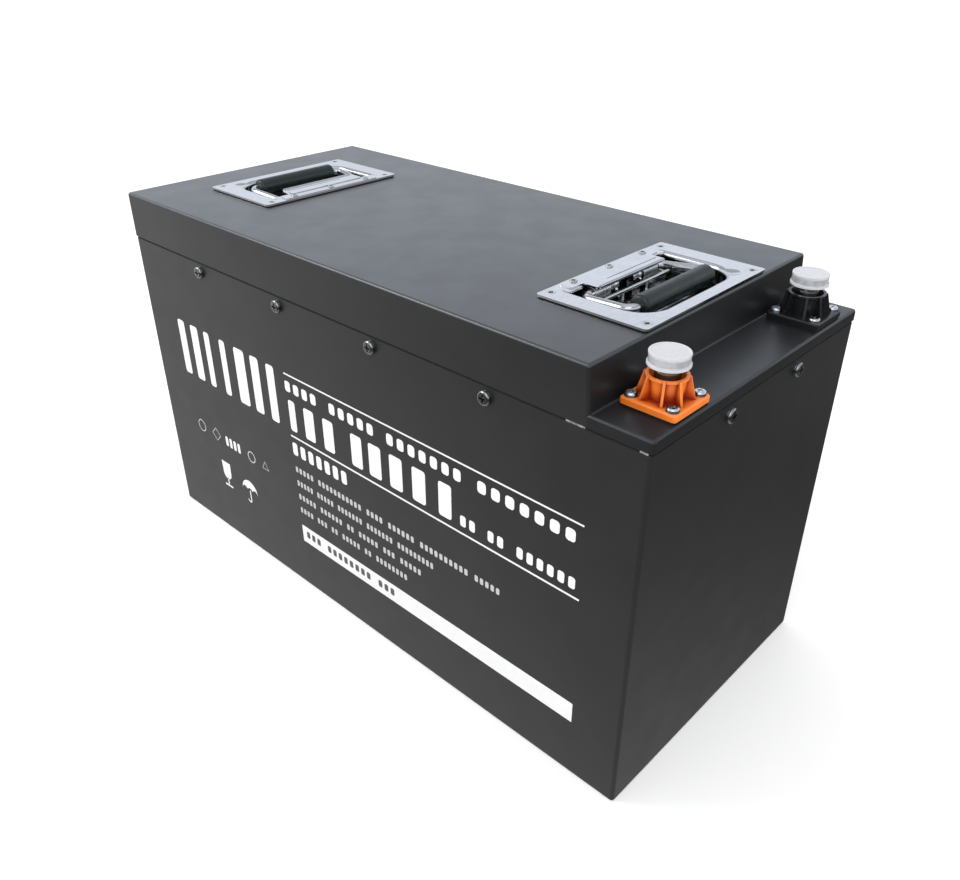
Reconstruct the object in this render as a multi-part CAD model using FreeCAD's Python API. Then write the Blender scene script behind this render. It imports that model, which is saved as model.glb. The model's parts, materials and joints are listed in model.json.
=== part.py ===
import FreeCAD, Part

import math
import os

from FreeCAD import Placement, Rotation, Vector

# Deep cycle battery in a painted sheet-steel case, with two sprung recess handles and two
# bolt-down terminals.  Millimetres.  The origin is the centre of the case's underside, +X runs
# along the length to the terminal end, +Y away from the labelled face, +Z up.

X_AXIS = Vector(1, 0, 0)
Y_AXIS = Vector(0, 1, 0)
Z_AXIS = Vector(0, 0, 1)
OVERRUN = 1.0                  # how far a cutting shape runs past the surface it opens
TOLERANCE = 0.01

# Case and lid
LENGTH = 520.0                 # over the lid
WIDTH = 240.0
HEIGHT = 303.0                 # to the raised top
SHELF_HEIGHT = 274.4           # terminal shelf at the +X end
STEP_TOP_X = 217.5             # the wall from the shelf to the top leans back a little
STEP_FOOT_X = 219.5
STEP_FILLET = 1.1
SHEET = 1.5
SEAM_BOTTOM = 265.1            # case rim
SEAM_TOP = 266.9               # lid skirt
CASE_INSET = 0.5               # the case is this much narrower than the lid on each side
CORNER_RADIUS = 2.5
FOLD_RADIUS = 2.0
GASKET_INSET = 0.3

# Frame welded inside the lid, and the screws that hold the case to it
FRAME_BOTTOM = 245.0
FRAME_TOP = 269.5
FRAME_GAP = 0.2                # frame to case wall
FRAME_SHEET = 2.0
LID_SCREW_Z = 258.0
LONG_SIDE_SCREWS = [-162.5 + 102.5 * step for step in range(4)]
END_SCREWS = [-40.6, 40.6]
LID_SCREW_HEAD = (4.9, 2.8)    # radius, height
LID_SCREW_SHANK = 2.45
LID_SCREW_HOLE = 2.75
WELD_NUT = (8.0, 5.0)          # across flats, height
THREAD_GAP = 0.08              # between a modelled shank and its nut's bore

# Recess handle, in its own frame: x towards the grip, z up from the lid's top
HANDLE_X = 176.6               # plate centre from the case's centre
PLATE_HALF_X = 39.8
PLATE_HALF_Y = 67.2
PLATE_CORNER = 2.5
PLATE_SHEET = 1.4
PLATE_GASKET = 0.8
OPENING_RIGHT = 29.0           # grip side of the opening
OPENING_HALF_Y = 50.5
OPENING_CORNER = 20.0
OPENING_LIP = 3.2              # radius on which the plate rolls down into the pan
PAN_CORNER = 3.0               # pan corners on the axle side
PAN_FOLD = 3.0                 # outside radius between the pan's walls and floor
PAN_LEFT = -31.0
PAN_FLOOR = -9.0
PAN_SHEET = 1.2
STOP_EDGE = -26.6              # the arms rest against this edge when the handle is upright
COVER_STRIP = (-38.8, -28.5, 47.0, 0.8)    # low x, high x, half width, thickness
COVER_TONGUE = (-28.5, -16.5, 36.5, 1.4)
COVER_ROLL = 1.1               # radius of the tongue's rolled edge
COVER_CORNER = 2.0
COVER_GROOVE = (-21.8, 0.8, 0.6)    # x, width, depth of the embossed line along the tongue
COVER_GROOVE_Y = (-20.0, 34.0)
AXLE = (-23.5, -3.5)           # x, z
GRIP = (14.2, 0.0)             # x, z
ARM_Y = (41.4, 46.0)           # the arms splay from the axle to the grip
ROD_RADIUS = 3.0
ROD_BEND = 6.5
AXLE_STUB_END = 8.0
GRIP_RADIUS = 7.0
GRIP_LENGTH = 76.0
GRIP_BORE_GAP = 0.06
BEARING_GAP = 0.06
EAR_CENTRES = (13.0, 36.0)
EAR_THICKNESS = 2.4
EAR_RADIUS = 4.6
BRACKET_BASE = 0.6
REST_ROD = (-13.6, -4.4, 1.3)  # x, z, radius of the rod that the springs' legs rest under
SPRING_WIRE = 0.7
SPRING_RADIUS = 4.0            # to the middle of the wire
SPRING_PITCH = 1.7
SPRING_GAP = 0.3               # coil to ear
PLATE_HOLES = [(x, y) for x in (-34.5, 34.5) for y in (-59.0, 59.0)]
PLATE_SCREW = (3.4, 2.0)       # countersunk head radius, shank radius
RIVET_X = -34.6
RIVET_Y = (-37.0, 0.0, 37.0)
RIVET = (2.6, 1.7, 0.9)        # head radius, shank radius, head height
RIVET_ROUNDING = 0.54
SCOOP = (26.5, 46.5, 18.0, 1.1)  # x, y, radius of the ball that presses it, depth
LIP_REACH = OPENING_LIP + PAN_SHEET    # pan wall's inside to the rolled lip's outside
GRIP_ROUNDING = 2.5
LEDGE_GAP = 1.5                # cover tongue to each stop ledge
HANDLE_GASKET_INSET = 0.9
HANDLE_OPENING_GAP = 0.5       # pressed lip to the lid's opening
SMALL_NUT = (7.0, 3.2)         # across flats, height
THREAD_SHOWING = 1.3           # screw end beyond its nut

# Terminals, z measured from the shelf
TERMINAL_X = 240.3
TERMINAL_Y = 80.9              # positive at -Y, negative at +Y
FLANGE_HALF = 17.6
FLANGE_CORNER = 2.0
FLANGE_CHAMFER = 0.8
TERMINAL_GASKET = 1.0
FLANGE_TOP = 5.0
CROWN_TOP = 18.1
CROWN_RADIUS = 12.6            # over the ribs' upper ends
CROWN_FOOT_RADIUS = 16.0
CROWN_RIM = (11.9, 1.2)        # radius and height of the thin rim that joins the ribs
BARREL_FOOT_RADIUS = 9.8
BARREL_TOP_RADIUS = 10.9
BARREL_MOUTH = (10.0, 8.0)     # radius at the top, depth of the flare
RIB_OFFSET_DEG = 20.0          # each side of the flange's diagonals
RIB_THICKNESS = 1.4
TERMINAL_SCREW_OFFSET = 13.0
TERMINAL_SCREW = (3.7, 2.6, 1.9)   # head radius, head height, shank radius
BOSS_RADIUS = 9.2
BOSS_BOTTOM = -4.4
BOSS_FLOOR = 2.0
SHELF_HOLE = 9.5
POST_NECK = 7.1
POST_DISC = (10.5, 3.4)        # radius, thickness
POST_DISC_CHAMFER = 0.5
POST_TOP = 28.8
POST_STUD = 5.0
POST_STUD_END = -19.4
POST_THREAD = 3.4              # tapped M8, minor radius
POST_THREAD_DEPTH = 20.0
CAP_RADIUS = 11.5              # over the rim round its top
CAP_FOOT_RADIUS = 12.0
CAP_WAIST = 11.25
CAP_BOTTOM = 23.5
CAP_TOP = 30.9
CAP_CEILING = 29.1
CAP_BORE = 10.7
CAP_BEAD = 1.1                 # height of the foot and of the top rim
CAP_DISH = (10.0, 0.35)        # radius and depth of the shallow dish in its top
CLAMP_NUT = (17.0, 8.0)        # across flats, height

# Cell pack: twelve prismatic cells, four groups of three
CELLS = 12
GROUP = 3
CELL = (41.5, 174.0)           # x, y
CELL_BOTTOM = 4.5
CELL_TOP = 205.0
CELL_LID = 1.5
CAN_WALL = 0.8
ELECTRODE_GAP = 0.3
SEPARATOR = 0.5
CELL_PITCH = CELL[0] + SEPARATOR
POST_SPREAD = 58.0             # cell poles at y = +/- this
POLE = (8.0, 3.0, 3.0)         # block radius, block height, stud radius
STUD_TOP = 221.5
BUSBAR = (24.0, 2.5)           # width, thickness
BUSBAR_OVERHANG = 12.0
BUSBAR_CORNER = 3.0
POLE_GAP = 0.2                 # cell pole stud to the hole in its bar
POLE_NUT = (10.0, 4.5)
END_PLATE = 3.0
STRAP = (0.6, 20.0)
STRAP_HEIGHTS = (60.0, 150.0)

# Foam between the cell pack and the case
BASE_PAD_GAP = 0.5
BASE_PAD_CORNER = 1.0
END_PAD_GAP = 0.1
SIDE_PAD_GAP = 0.2
PAD_SETBACK = 3.0              # pads stop this short of the pack's corners
PAD_DROP = 5.0                 # and this far below its top
TOP_BOARD = (500.0, 132.0, 223.0, 1.5)  # x, y, z, thickness

# Battery management unit and cables
BMS = (90.0, 55.0, 26.0)       # half length, half width, height
BMS_WALL = 2.0
BMS_FINS = 9
BMS_FIN = (2.0, 6.0)           # thickness, height
BMS_FIN_INSET = 5.0
BMS_CABLE = (20.0, 13.5)       # y, height of the cable above the top board
BMS_CORNER = 3.0
BMS_FOOT = (12.0, 6.0, 3.0)    # reach, half width, height
BMS_FOOT_CENTRE = (6.0, 8.0)   # screw outside the housing's end, and inside its side
BMS_BOARD = (3.5, 1.6, 6.0)    # height above the floor, thickness, inset from the housing
BMS_POSTS = [(x, y) for x in (-60.0, 60.0) for y in (-35.0, 40.0)]
BMS_POST_RADIUS = 3.0
BMS_CLAMP = (10.0, 14.0, 9.0, 8.5)  # inside and outside the end wall, half width, above cable
BMS_WINDOW_GAP = 0.5
BMS_SCREW = (3.8, 2.4, 1.95)   # head radius, head height, shank radius
CABLE_RADIUS = 6.0
CABLE_BEND = 9.0
CABLE_SIDE_Y = 99.0            # cables run along the case's wall here
CABLE_END_X = 231.0
CABLE_END_Z = 240.0
CABLE_INSERTION = 13.0
CABLE_CLIMB_Y = -8.0           # positive cable: rises under the shelf from here
CABLE_LEVEL_Y = 44.0           # and is level again this far short of the post
CABLE_TURN_X = -140.0          # pack negative cable: turns towards the management unit
CABLE_CLIMB_X = (135.0, 175.0)  # negative cable: rises towards the shelf over this span
LUG_BARREL = 7.2
LUG_BARREL_LENGTH = 18.0
LUG_RING = 4.2                 # width of the ring round its hole
LUG_NECK = 5.5
LUG_SHEET = 2.5
POLE_LUG = (4.0, 10.5)         # barrel height, reach
POST_LUG_REACH = 12.0
BALANCE_WIRE = 1.0
BALANCE_BEND = 3.0
BALANCE_Y = (67.0, 76.0)       # where a wire leaves its bar, and where it runs
BALANCE_RISE = 4.0
BALANCE_ROUTES = [             # x on the bar, x at the management unit, side
    (-210, -60, 1), (0, 0, 1), (210, 60, 1), (-126, -40, -1), (126, 40, -1),
]
HOLE_GAP = 0.2                 # a drilled hole's clearance round a screw or stud


def around(half, centre=0.0):
    return (centre - half, centre + half)


def block(x, y, z):
    """Box between the given low and high limits on each axis."""
    corner = Vector(x[0], y[0], z[0])
    return Part.makeBox(x[1] - x[0], y[1] - y[0], z[1] - z[0], corner)


def disc(radius, x, y, z):
    """Upright cylinder between the two heights in z."""
    return Part.makeCylinder(radius, z[1] - z[0], Vector(x, y, z[0]))


def upright_edges(shape):
    """Edges that run mostly up and down."""
    found = []
    for edge in shape.Edges:
        first, last = [vertex.Point for vertex in edge.Vertexes][:2]
        rise = abs(last.z - first.z)
        if rise > 0.9 * (last - first).Length:
            found.append(edge)
    return found


def rounded_block(x, y, z, radius):
    """Box with its four upright edges rounded."""
    shape = block(x, y, z)
    return shape.makeFillet(radius, upright_edges(shape))


def level_edges(shape, z):
    """Edges that lie wholly at one height."""
    return [
        edge for edge in shape.Edges
        if abs(edge.BoundBox.ZMin - z) < 1e-6 and abs(edge.BoundBox.ZMax - z) < 1e-6
    ]


def fused(shapes):
    result = shapes[0]
    for shape in shapes[1:]:
        result = result.fuse(shape)
    return result.removeSplitter()


def without(shape, cutters):
    for cutter in cutters:
        shape = shape.cut(cutter)
    return shape


def placed(shape, position, facing=Z_AXIS):
    """Copy of a shape, moved so that its own +Z points along facing."""
    copy = shape.copy()
    copy.Placement = Placement(position, Rotation(Z_AXIS, facing))
    return copy


def nut(flats, height, bore):
    """Hexagon nut standing on its own origin."""
    corner_radius = flats / math.sqrt(3)
    corners = [
        Vector(corner_radius * math.cos(turn), corner_radius * math.sin(turn), 0)
        for turn in (math.radians(60 * step) for step in range(7))
    ]
    body = Part.Face(Part.makePolygon(corners)).extrude(Vector(0, 0, height))
    return body.cut(disc(bore, 0, 0, (-OVERRUN, height + OVERRUN)))


def cross_recess(size, top, depth):
    """Two crossed bars that cut a driver recess into a screw head."""
    arm = block(around(size / 2), around(size / 10), (top - depth, top + OVERRUN))
    return arm.fuse(block(around(size / 10), around(size / 2), (top - depth, top + OVERRUN)))


def pan_screw(head_radius, head_height, shank_radius, shank_length):
    """Pan-head screw: the head stands above its origin and the shank runs below it."""
    head = disc(head_radius, 0, 0, (0, head_height))
    head = head.makeFillet(0.55 * head_height, level_edges(head, head_height))
    head = head.cut(cross_recess(1.1 * head_radius, head_height, 0.5 * head_height))
    return head.fuse(disc(shank_radius, 0, 0, (-shank_length, 0))).removeSplitter()


def countersunk_screw(head_radius, shank_radius, head_height, shank_length):
    """Countersunk screw whose head's top is at its origin."""
    head = Part.makeCone(shank_radius, head_radius, head_height, Vector(0, 0, -head_height))
    head = head.cut(cross_recess(1.1 * head_radius, 0, 0.5 * head_height))
    return head.fuse(disc(shank_radius, 0, 0, (-shank_length, -head_height))).removeSplitter()


def bent_path(points, bend):
    """Wire through the points, with each corner turned on the same radius."""
    edges = []
    start = points[0]
    for before, corner, after in zip(points, points[1:], points[2:]):
        back = (before - corner).normalize()
        ahead = (after - corner).normalize()
        half_angle = back.getAngle(ahead) / 2
        reach = bend / math.tan(half_angle)
        enter = corner + back * reach
        leave = corner + ahead * reach
        inward = (back + ahead).normalize()
        middle = corner + inward * (bend / math.sin(half_angle) - bend)
        edges.append(Part.LineSegment(start, enter).toShape())
        edges.append(Part.Arc(enter, middle, leave).toShape())
        start = leave
    edges.append(Part.LineSegment(start, points[-1]).toShape())
    return Part.Wire(edges)


def bent_rod(points, bend, radius):
    """Round bar or cable along a bent path."""
    section = Part.Wire(Part.makeCircle(radius, points[0], points[1] - points[0]))
    return bent_path(points, bend).makePipeShell([section], True, False)


def save(name, shapes):
    """Write one named piece; identical pieces are kept as separate solids in one file."""
    solids = [solid for shape in shapes for solid in shape.Solids]
    Part.makeCompound(solids).exportStep("parts/" + name + ".step")


# ---------------------------------------------------------------------------------- case and lid

def lid_screw_places():
    """Seat and outward direction of every lid screw on the case's outer wall."""
    places = []
    half_x = LENGTH / 2 - CASE_INSET
    half_y = WIDTH / 2 - CASE_INSET
    for side in (-1, 1):
        for x in LONG_SIDE_SCREWS:
            places.append((Vector(x, side * half_y, LID_SCREW_Z), Y_AXIS * side))
        for y in END_SCREWS:
            places.append((Vector(side * half_x, y, LID_SCREW_Z), X_AXIS * side))
    return places


def lid_screw_drills():
    reach = SHEET + FRAME_GAP + FRAME_SHEET + OVERRUN
    return [
        Part.makeCylinder(LID_SCREW_HOLE, reach + OVERRUN, seat + outward * OVERRUN, outward * -1)
        for seat, outward in lid_screw_places()
    ]


def case_body():
    half_x = LENGTH / 2 - CASE_INSET
    half_y = WIDTH / 2 - CASE_INSET
    outer = rounded_block(around(half_x), around(half_y), (0, SEAM_BOTTOM), CORNER_RADIUS)
    outer = outer.makeFillet(FOLD_RADIUS, level_edges(outer, 0))
    inner = rounded_block(
        around(half_x - SHEET), around(half_y - SHEET), (SHEET, SEAM_BOTTOM + OVERRUN),
        CORNER_RADIUS - SHEET)
    return without(outer, [inner] + lid_screw_drills())


def lid_solid(inset, bottom):
    """The lid's filled outline, shrunk inwards by inset: a full-length tray and a raised top."""
    half_x = LENGTH / 2 - inset
    half_y = WIDTH / 2 - inset
    fold = FOLD_RADIUS - inset
    corner = CORNER_RADIUS - inset
    shelf = SHELF_HEIGHT - inset
    top = HEIGHT - inset
    tray = rounded_block(around(half_x), around(half_y), (bottom, shelf), corner)
    tray = tray.makeFillet(fold, level_edges(tray, shelf))
    outline = [
        Vector(-half_x, -half_y, bottom),
        Vector(STEP_FOOT_X - inset, -half_y, bottom),
        Vector(STEP_FOOT_X - inset, -half_y, shelf),
        Vector(STEP_TOP_X - inset, -half_y, top),
        Vector(-half_x, -half_y, top),
    ]
    hood = Part.Face(Part.makePolygon(outline + outline[:1])).extrude(Vector(0, 2 * half_y, 0))
    rear = [edge for edge in upright_edges(hood) if edge.BoundBox.XMax < 0]
    hood = hood.makeFillet(corner, rear)
    front = [edge for edge in upright_edges(hood) if edge.BoundBox.XMin > STEP_TOP_X - 10
             and edge.BoundBox.ZMax > shelf + OVERRUN]
    hood = hood.makeFillet(fold, front)
    hood = hood.makeFillet(fold, level_edges(hood, top))
    return tray.fuse(hood).removeSplitter()


def step_fillet():
    """Small inside radius where the shelf turns up into the raised top."""
    centre_x = STEP_FOOT_X + STEP_FILLET
    centre_z = SHELF_HEIGHT + STEP_FILLET
    half_y = WIDTH / 2 - FOLD_RADIUS
    filler = block((STEP_FOOT_X - SHEET / 2, centre_x), around(half_y),
                   (SHELF_HEIGHT - SHEET / 2, centre_z))
    rod = Part.makeCylinder(STEP_FILLET, WIDTH, Vector(centre_x, -WIDTH / 2, centre_z), Y_AXIS)
    return filler.cut(rod)


def handle_cutouts():
    """Openings in the lid's top for the handle pans and the handles' corner screws."""
    opening = pan_block(LIP_REACH + HANDLE_OPENING_GAP, (-SHEET - OVERRUN, OVERRUN))
    drills = [
        disc(PLATE_SCREW[1] + HOLE_GAP, x, y, (-SHEET - OVERRUN, OVERRUN)) for x, y in PLATE_HOLES
    ]
    return [on_lid(shape, side) for side in (-1, 1) for shape in [opening] + drills]


def terminal_cutouts():
    through = (-SHEET - OVERRUN, OVERRUN)
    cutters = [disc(SHELF_HOLE, 0, 0, through)]
    for x, y in terminal_screw_places():
        cutters.append(disc(TERMINAL_SCREW[2] + HOLE_GAP, x, y, through))
    return [on_shelf(shape, side) for side in (-1, 1) for shape in cutters]


def lid():
    outer = lid_solid(0, SEAM_TOP).fuse(step_fillet()).removeSplitter()
    inner = lid_solid(SHEET, SEAM_TOP - OVERRUN)
    return without(outer, [inner] + handle_cutouts() + terminal_cutouts())


def case_gasket():
    half_x = LENGTH / 2 - CASE_INSET
    half_y = WIDTH / 2 - CASE_INSET
    height = (SEAM_BOTTOM, SEAM_TOP)
    outer = rounded_block(
        around(half_x - GASKET_INSET), around(half_y - GASKET_INSET), height, CORNER_RADIUS)
    inner = rounded_block(
        around(half_x - SHEET), around(half_y - SHEET),
        (SEAM_BOTTOM - OVERRUN, SEAM_TOP + OVERRUN), CORNER_RADIUS - SHEET)
    return outer.cut(inner)


def lid_inner_frame():
    """Ring welded inside the lid's skirt; its lower part slides into the case."""
    lid_inner_x = LENGTH / 2 - SHEET
    lid_inner_y = WIDTH / 2 - SHEET
    case_inner_x = lid_inner_x - CASE_INSET - FRAME_GAP
    case_inner_y = lid_inner_y - CASE_INSET - FRAME_GAP
    shoulder = SEAM_TOP + FRAME_GAP
    corner = CORNER_RADIUS - SHEET
    welded = rounded_block(around(lid_inner_x), around(lid_inner_y), (shoulder, FRAME_TOP), corner)
    sliding = rounded_block(
        around(case_inner_x), around(case_inner_y), (FRAME_BOTTOM, shoulder), corner)
    hollow = rounded_block(
        around(case_inner_x - FRAME_SHEET), around(case_inner_y - FRAME_SHEET),
        (FRAME_BOTTOM - OVERRUN, FRAME_TOP + OVERRUN), corner)
    return without(welded.fuse(sliding).removeSplitter(), [hollow] + lid_screw_drills())


def lid_screws():
    reach = SHEET + FRAME_GAP + FRAME_SHEET + WELD_NUT[1]
    screw = pan_screw(*LID_SCREW_HEAD, LID_SCREW_SHANK, reach)
    return [placed(screw, seat, outward) for seat, outward in lid_screw_places()]


def lid_weld_nuts():
    depth = SHEET + FRAME_GAP + FRAME_SHEET + WELD_NUT[1]
    weld_nut = nut(*WELD_NUT, LID_SCREW_SHANK + THREAD_GAP)
    return [
        placed(weld_nut, seat - outward * depth, outward) for seat, outward in lid_screw_places()
    ]


# --------------------------------------------------------------------------------------- handles

def on_lid(shape, side):
    """Move a shape from the handle's frame to the lid; the -X handle is turned half a turn."""
    copy = shape.copy()
    turn = Rotation(Z_AXIS, 0 if side > 0 else 180)
    move = Placement(Vector(side * HANDLE_X, 0, HEIGHT), turn)
    copy.Placement = move.multiply(copy.Placement)
    return copy


def plate_outline(z):
    return rounded_block(around(PLATE_HALF_X), around(PLATE_HALF_Y), z, PLATE_CORNER)


def pan_block(grow, z):
    """Block with the pan's outline: large corners on the grip side and small ones at the axle."""
    shape = block((PAN_LEFT - grow, OPENING_RIGHT + grow), around(OPENING_HALF_Y + grow), z)
    wide = [edge for edge in upright_edges(shape) if edge.BoundBox.XMin > 0]
    shape = shape.makeFillet(OPENING_CORNER + grow, wide)
    tight = [edge for edge in upright_edges(shape) if edge.BoundBox.XMax < PAN_LEFT + TOLERANCE]
    return shape.makeFillet(PAN_CORNER + grow, tight)


def handle_dish():
    """Plate and pressed pan in one sheet, with stop ledges beside the cover and a finger scoop."""
    plate_top = PLATE_GASKET + PLATE_SHEET
    below_top = plate_top - PLATE_SHEET / 2
    plate = plate_outline((PLATE_GASKET, plate_top))
    pan = pan_block(PAN_SHEET, (PAN_FLOOR - PAN_SHEET, below_top))
    pan = pan.makeFillet(PAN_FOLD, level_edges(pan, PAN_FLOOR - PAN_SHEET))
    collar = pan_block(LIP_REACH, (plate_top - LIP_REACH, below_top))
    collar = collar.makeFillet(OPENING_LIP, level_edges(collar, plate_top - LIP_REACH))
    hollow = pan_block(0, (PAN_FLOOR, plate_top + OVERRUN))
    hollow = hollow.makeFillet(PAN_FOLD - PAN_SHEET, level_edges(hollow, PAN_FLOOR))
    dish = plate.fuse(pan).fuse(collar).cut(hollow)
    rim = [edge for edge in level_edges(dish, plate_top) if inside_opening(edge)]
    dish = dish.makeFillet(OPENING_LIP, rim)
    axle_side = block((PAN_LEFT - LIP_REACH, PAN_LEFT), around(OPENING_HALF_Y),
                      (PLATE_GASKET, plate_top))
    ledge_y = (COVER_TONGUE[2] + LEDGE_GAP, OPENING_HALF_Y + PAN_SHEET)
    ledges = [
        block((PAN_LEFT - PAN_SHEET, STOP_EDGE), y, (PLATE_GASKET, plate_top))
        for y in (ledge_y, (-ledge_y[1], -ledge_y[0]))
    ]
    ball = Part.makeSphere(SCOOP[2], Vector(SCOOP[0], SCOOP[1], plate_top + SCOOP[2] - SCOOP[3]))
    sinks = [
        Part.makeCone(PLATE_SCREW[1] + TOLERANCE, PLATE_SCREW[0] + TOLERANCE, PLATE_SHEET,
                      Vector(x, y, PLATE_GASKET))
        for x, y in PLATE_HOLES
    ]
    rivets = [disc(RIVET[1] + HOLE_GAP / 2, RIVET_X, y, (0, plate_top + OVERRUN)) for y in RIVET_Y]
    return without(fused([dish, axle_side] + ledges), [ball] + sinks + rivets)


def inside_opening(edge):
    """Whether an edge of the plate belongs to the opening and not to the plate's outline."""
    box = edge.BoundBox
    reach_x = max(abs(box.XMin), abs(box.XMax))
    reach_y = max(abs(box.YMin), abs(box.YMax))
    return reach_x < PLATE_HALF_X - 2 * OVERRUN and reach_y < OPENING_HALF_Y + TOLERANCE


def handle_gasket():
    through = (-OVERRUN, PLATE_GASKET + OVERRUN)
    sheet = rounded_block(around(PLATE_HALF_X - HANDLE_GASKET_INSET),
                          around(PLATE_HALF_Y - HANDLE_GASKET_INSET),
                          (0, PLATE_GASKET), PLATE_CORNER)
    opening = pan_block(LIP_REACH + HANDLE_OPENING_GAP, through)
    drills = [disc(PLATE_SCREW[1] + HOLE_GAP, x, y, through) for x, y in PLATE_HOLES]
    return without(sheet, [opening] + drills)


def handle_cover_plate():
    """Riveted strip whose raised tongue covers the axle; the tongue's free edge is rolled."""
    seat = PLATE_GASKET + PLATE_SHEET
    low_x, high_x, half_y, thickness = COVER_STRIP
    strip = rounded_block((low_x, high_x), around(half_y), (seat, seat + thickness), COVER_CORNER)
    low_x, high_x, half_y, thickness = COVER_TONGUE
    tongue = rounded_block((low_x - COVER_CORNER, high_x), around(half_y),
                           (seat, seat + thickness), COVER_CORNER)
    roll = Part.makeCylinder(COVER_ROLL, 2 * (half_y - COVER_CORNER),
                             Vector(high_x, COVER_CORNER - half_y, seat + COVER_ROLL), Y_AXIS)
    through = (seat - OVERRUN, seat + thickness + OVERRUN)
    drills = [disc(RIVET[1] + HOLE_GAP / 2, RIVET_X, y, through) for y in RIVET_Y]
    groove_x, groove_width, groove_depth = COVER_GROOVE
    groove = block(around(groove_width / 2, groove_x), COVER_GROOVE_Y,
                   (seat + thickness - groove_depth, seat + thickness + OVERRUN))
    return without(fused([strip, tongue, roll]), drills + [groove])


def handle_rivets():
    bottom = PLATE_GASKET
    seat = bottom + PLATE_SHEET + COVER_STRIP[3]
    rivets = []
    for y in RIVET_Y:
        head = disc(RIVET[0], RIVET_X, y, (seat, seat + RIVET[2]))
        head = head.makeFillet(RIVET_ROUNDING, level_edges(head, seat + RIVET[2]))
        rivets.append(head.fuse(disc(RIVET[1], RIVET_X, y, (bottom, seat))).removeSplitter())
    return rivets


def handle_bracket():
    """Bearing ears on the pan's floor for the axle stubs, joined by the springs' rest rod."""
    axle_x, axle_z = AXLE
    rest_x, rest_z, rest_radius = REST_ROD
    half_base = EAR_CENTRES[1] + EAR_THICKNESS / 2
    base = block((axle_x - EAR_RADIUS, axle_x + EAR_RADIUS), around(half_base),
                 (PAN_FLOOR, PAN_FLOOR + BRACKET_BASE))
    rest_length = 2 * EAR_CENTRES[1] + EAR_THICKNESS
    pieces = [
        base,
        Part.makeCylinder(rest_radius, rest_length, Vector(rest_x, -rest_length / 2, rest_z),
                          Y_AXIS),
    ]
    for side in (-1, 1):
        for centre in EAR_CENTRES:
            y = around(EAR_THICKNESS / 2, side * centre)
            pieces.append(block((axle_x, rest_x), y, (PAN_FLOOR, rest_z)))
            pieces.append(block(around(EAR_RADIUS, axle_x), y, (PAN_FLOOR, axle_z)))
            pieces.append(Part.makeCylinder(EAR_RADIUS, EAR_THICKNESS,
                                            Vector(axle_x, y[0], axle_z), Y_AXIS))
    bore = Part.makeCylinder(ROD_RADIUS + BEARING_GAP, 2 * ARM_Y[0],
                             Vector(axle_x, -ARM_Y[0], axle_z), Y_AXIS)
    return fused(pieces).cut(bore)


def handle_bail():
    """One bent rod: a stub of axle, an arm, the grip rod, the other arm and the other stub."""
    axle_x, axle_z = AXLE
    grip_x, grip_z = GRIP
    points = [
        Vector(axle_x, -AXLE_STUB_END, axle_z),
        Vector(axle_x, -ARM_Y[0], axle_z),
        Vector(grip_x, -ARM_Y[1], grip_z),
        Vector(grip_x, ARM_Y[1], grip_z),
        Vector(axle_x, ARM_Y[0], axle_z),
        Vector(axle_x, AXLE_STUB_END, axle_z),
    ]
    return bent_rod(points, ROD_BEND, ROD_RADIUS)


def handle_grip():
    grip_x, grip_z = GRIP
    start = Vector(grip_x, -GRIP_LENGTH / 2, grip_z)
    sleeve = Part.makeCylinder(GRIP_RADIUS, GRIP_LENGTH, start, Y_AXIS)
    rims = [edge for edge in sleeve.Edges if abs(edge.BoundBox.YMin - edge.BoundBox.YMax) < 1e-6]
    sleeve = sleeve.makeFillet(GRIP_ROUNDING, rims)
    bore = Part.makeCylinder(ROD_RADIUS + GRIP_BORE_GAP, GRIP_LENGTH + 2 * OVERRUN,
                             start - Y_AXIS * OVERRUN, Y_AXIS)
    return sleeve.cut(bore)


def handle_springs():
    """A torsion coil round each axle stub, between that stub's two ears."""
    axle_x, axle_z = AXLE
    clearance = SPRING_WIRE + SPRING_GAP
    low = EAR_CENTRES[0] + EAR_THICKNESS / 2 + clearance
    high = EAR_CENTRES[1] - EAR_THICKNESS / 2 - clearance
    path = Part.makeHelix(SPRING_PITCH, high - low, SPRING_RADIUS)
    section = Part.Wire(Part.makeCircle(SPRING_WIRE, Vector(SPRING_RADIUS, 0, 0), Y_AXIS))
    coil = Part.Wire(path).makePipeShell([section], True, True)
    return [
        placed(coil, Vector(axle_x, side * low, axle_z), Y_AXIS * side) for side in (-1, 1)
    ]


def handle_screws():
    length = PLATE_GASKET + PLATE_SHEET + SHEET + SMALL_NUT[1] + THREAD_SHOWING
    screw = countersunk_screw(*PLATE_SCREW, PLATE_SHEET, length)
    return [placed(screw, Vector(x, y, PLATE_GASKET + PLATE_SHEET)) for x, y in PLATE_HOLES]


def handle_nuts():
    plain = nut(*SMALL_NUT, PLATE_SCREW[1] + THREAD_GAP)
    return [placed(plain, Vector(x, y, -SHEET - SMALL_NUT[1])) for x, y in PLATE_HOLES]


# ------------------------------------------------------------------------------------- terminals

def on_shelf(shape, side):
    """Move a shape from a terminal's frame to the shelf; side -1 is positive, +1 negative."""
    copy = shape.copy()
    move = Placement(Vector(TERMINAL_X, side * TERMINAL_Y, SHELF_HEIGHT), Rotation())
    copy.Placement = move.multiply(copy.Placement)
    return copy


def terminal_screw_places():
    offset = TERMINAL_SCREW_OFFSET
    return [(x, y) for x in (-offset, offset) for y in (-offset, offset)]


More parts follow.
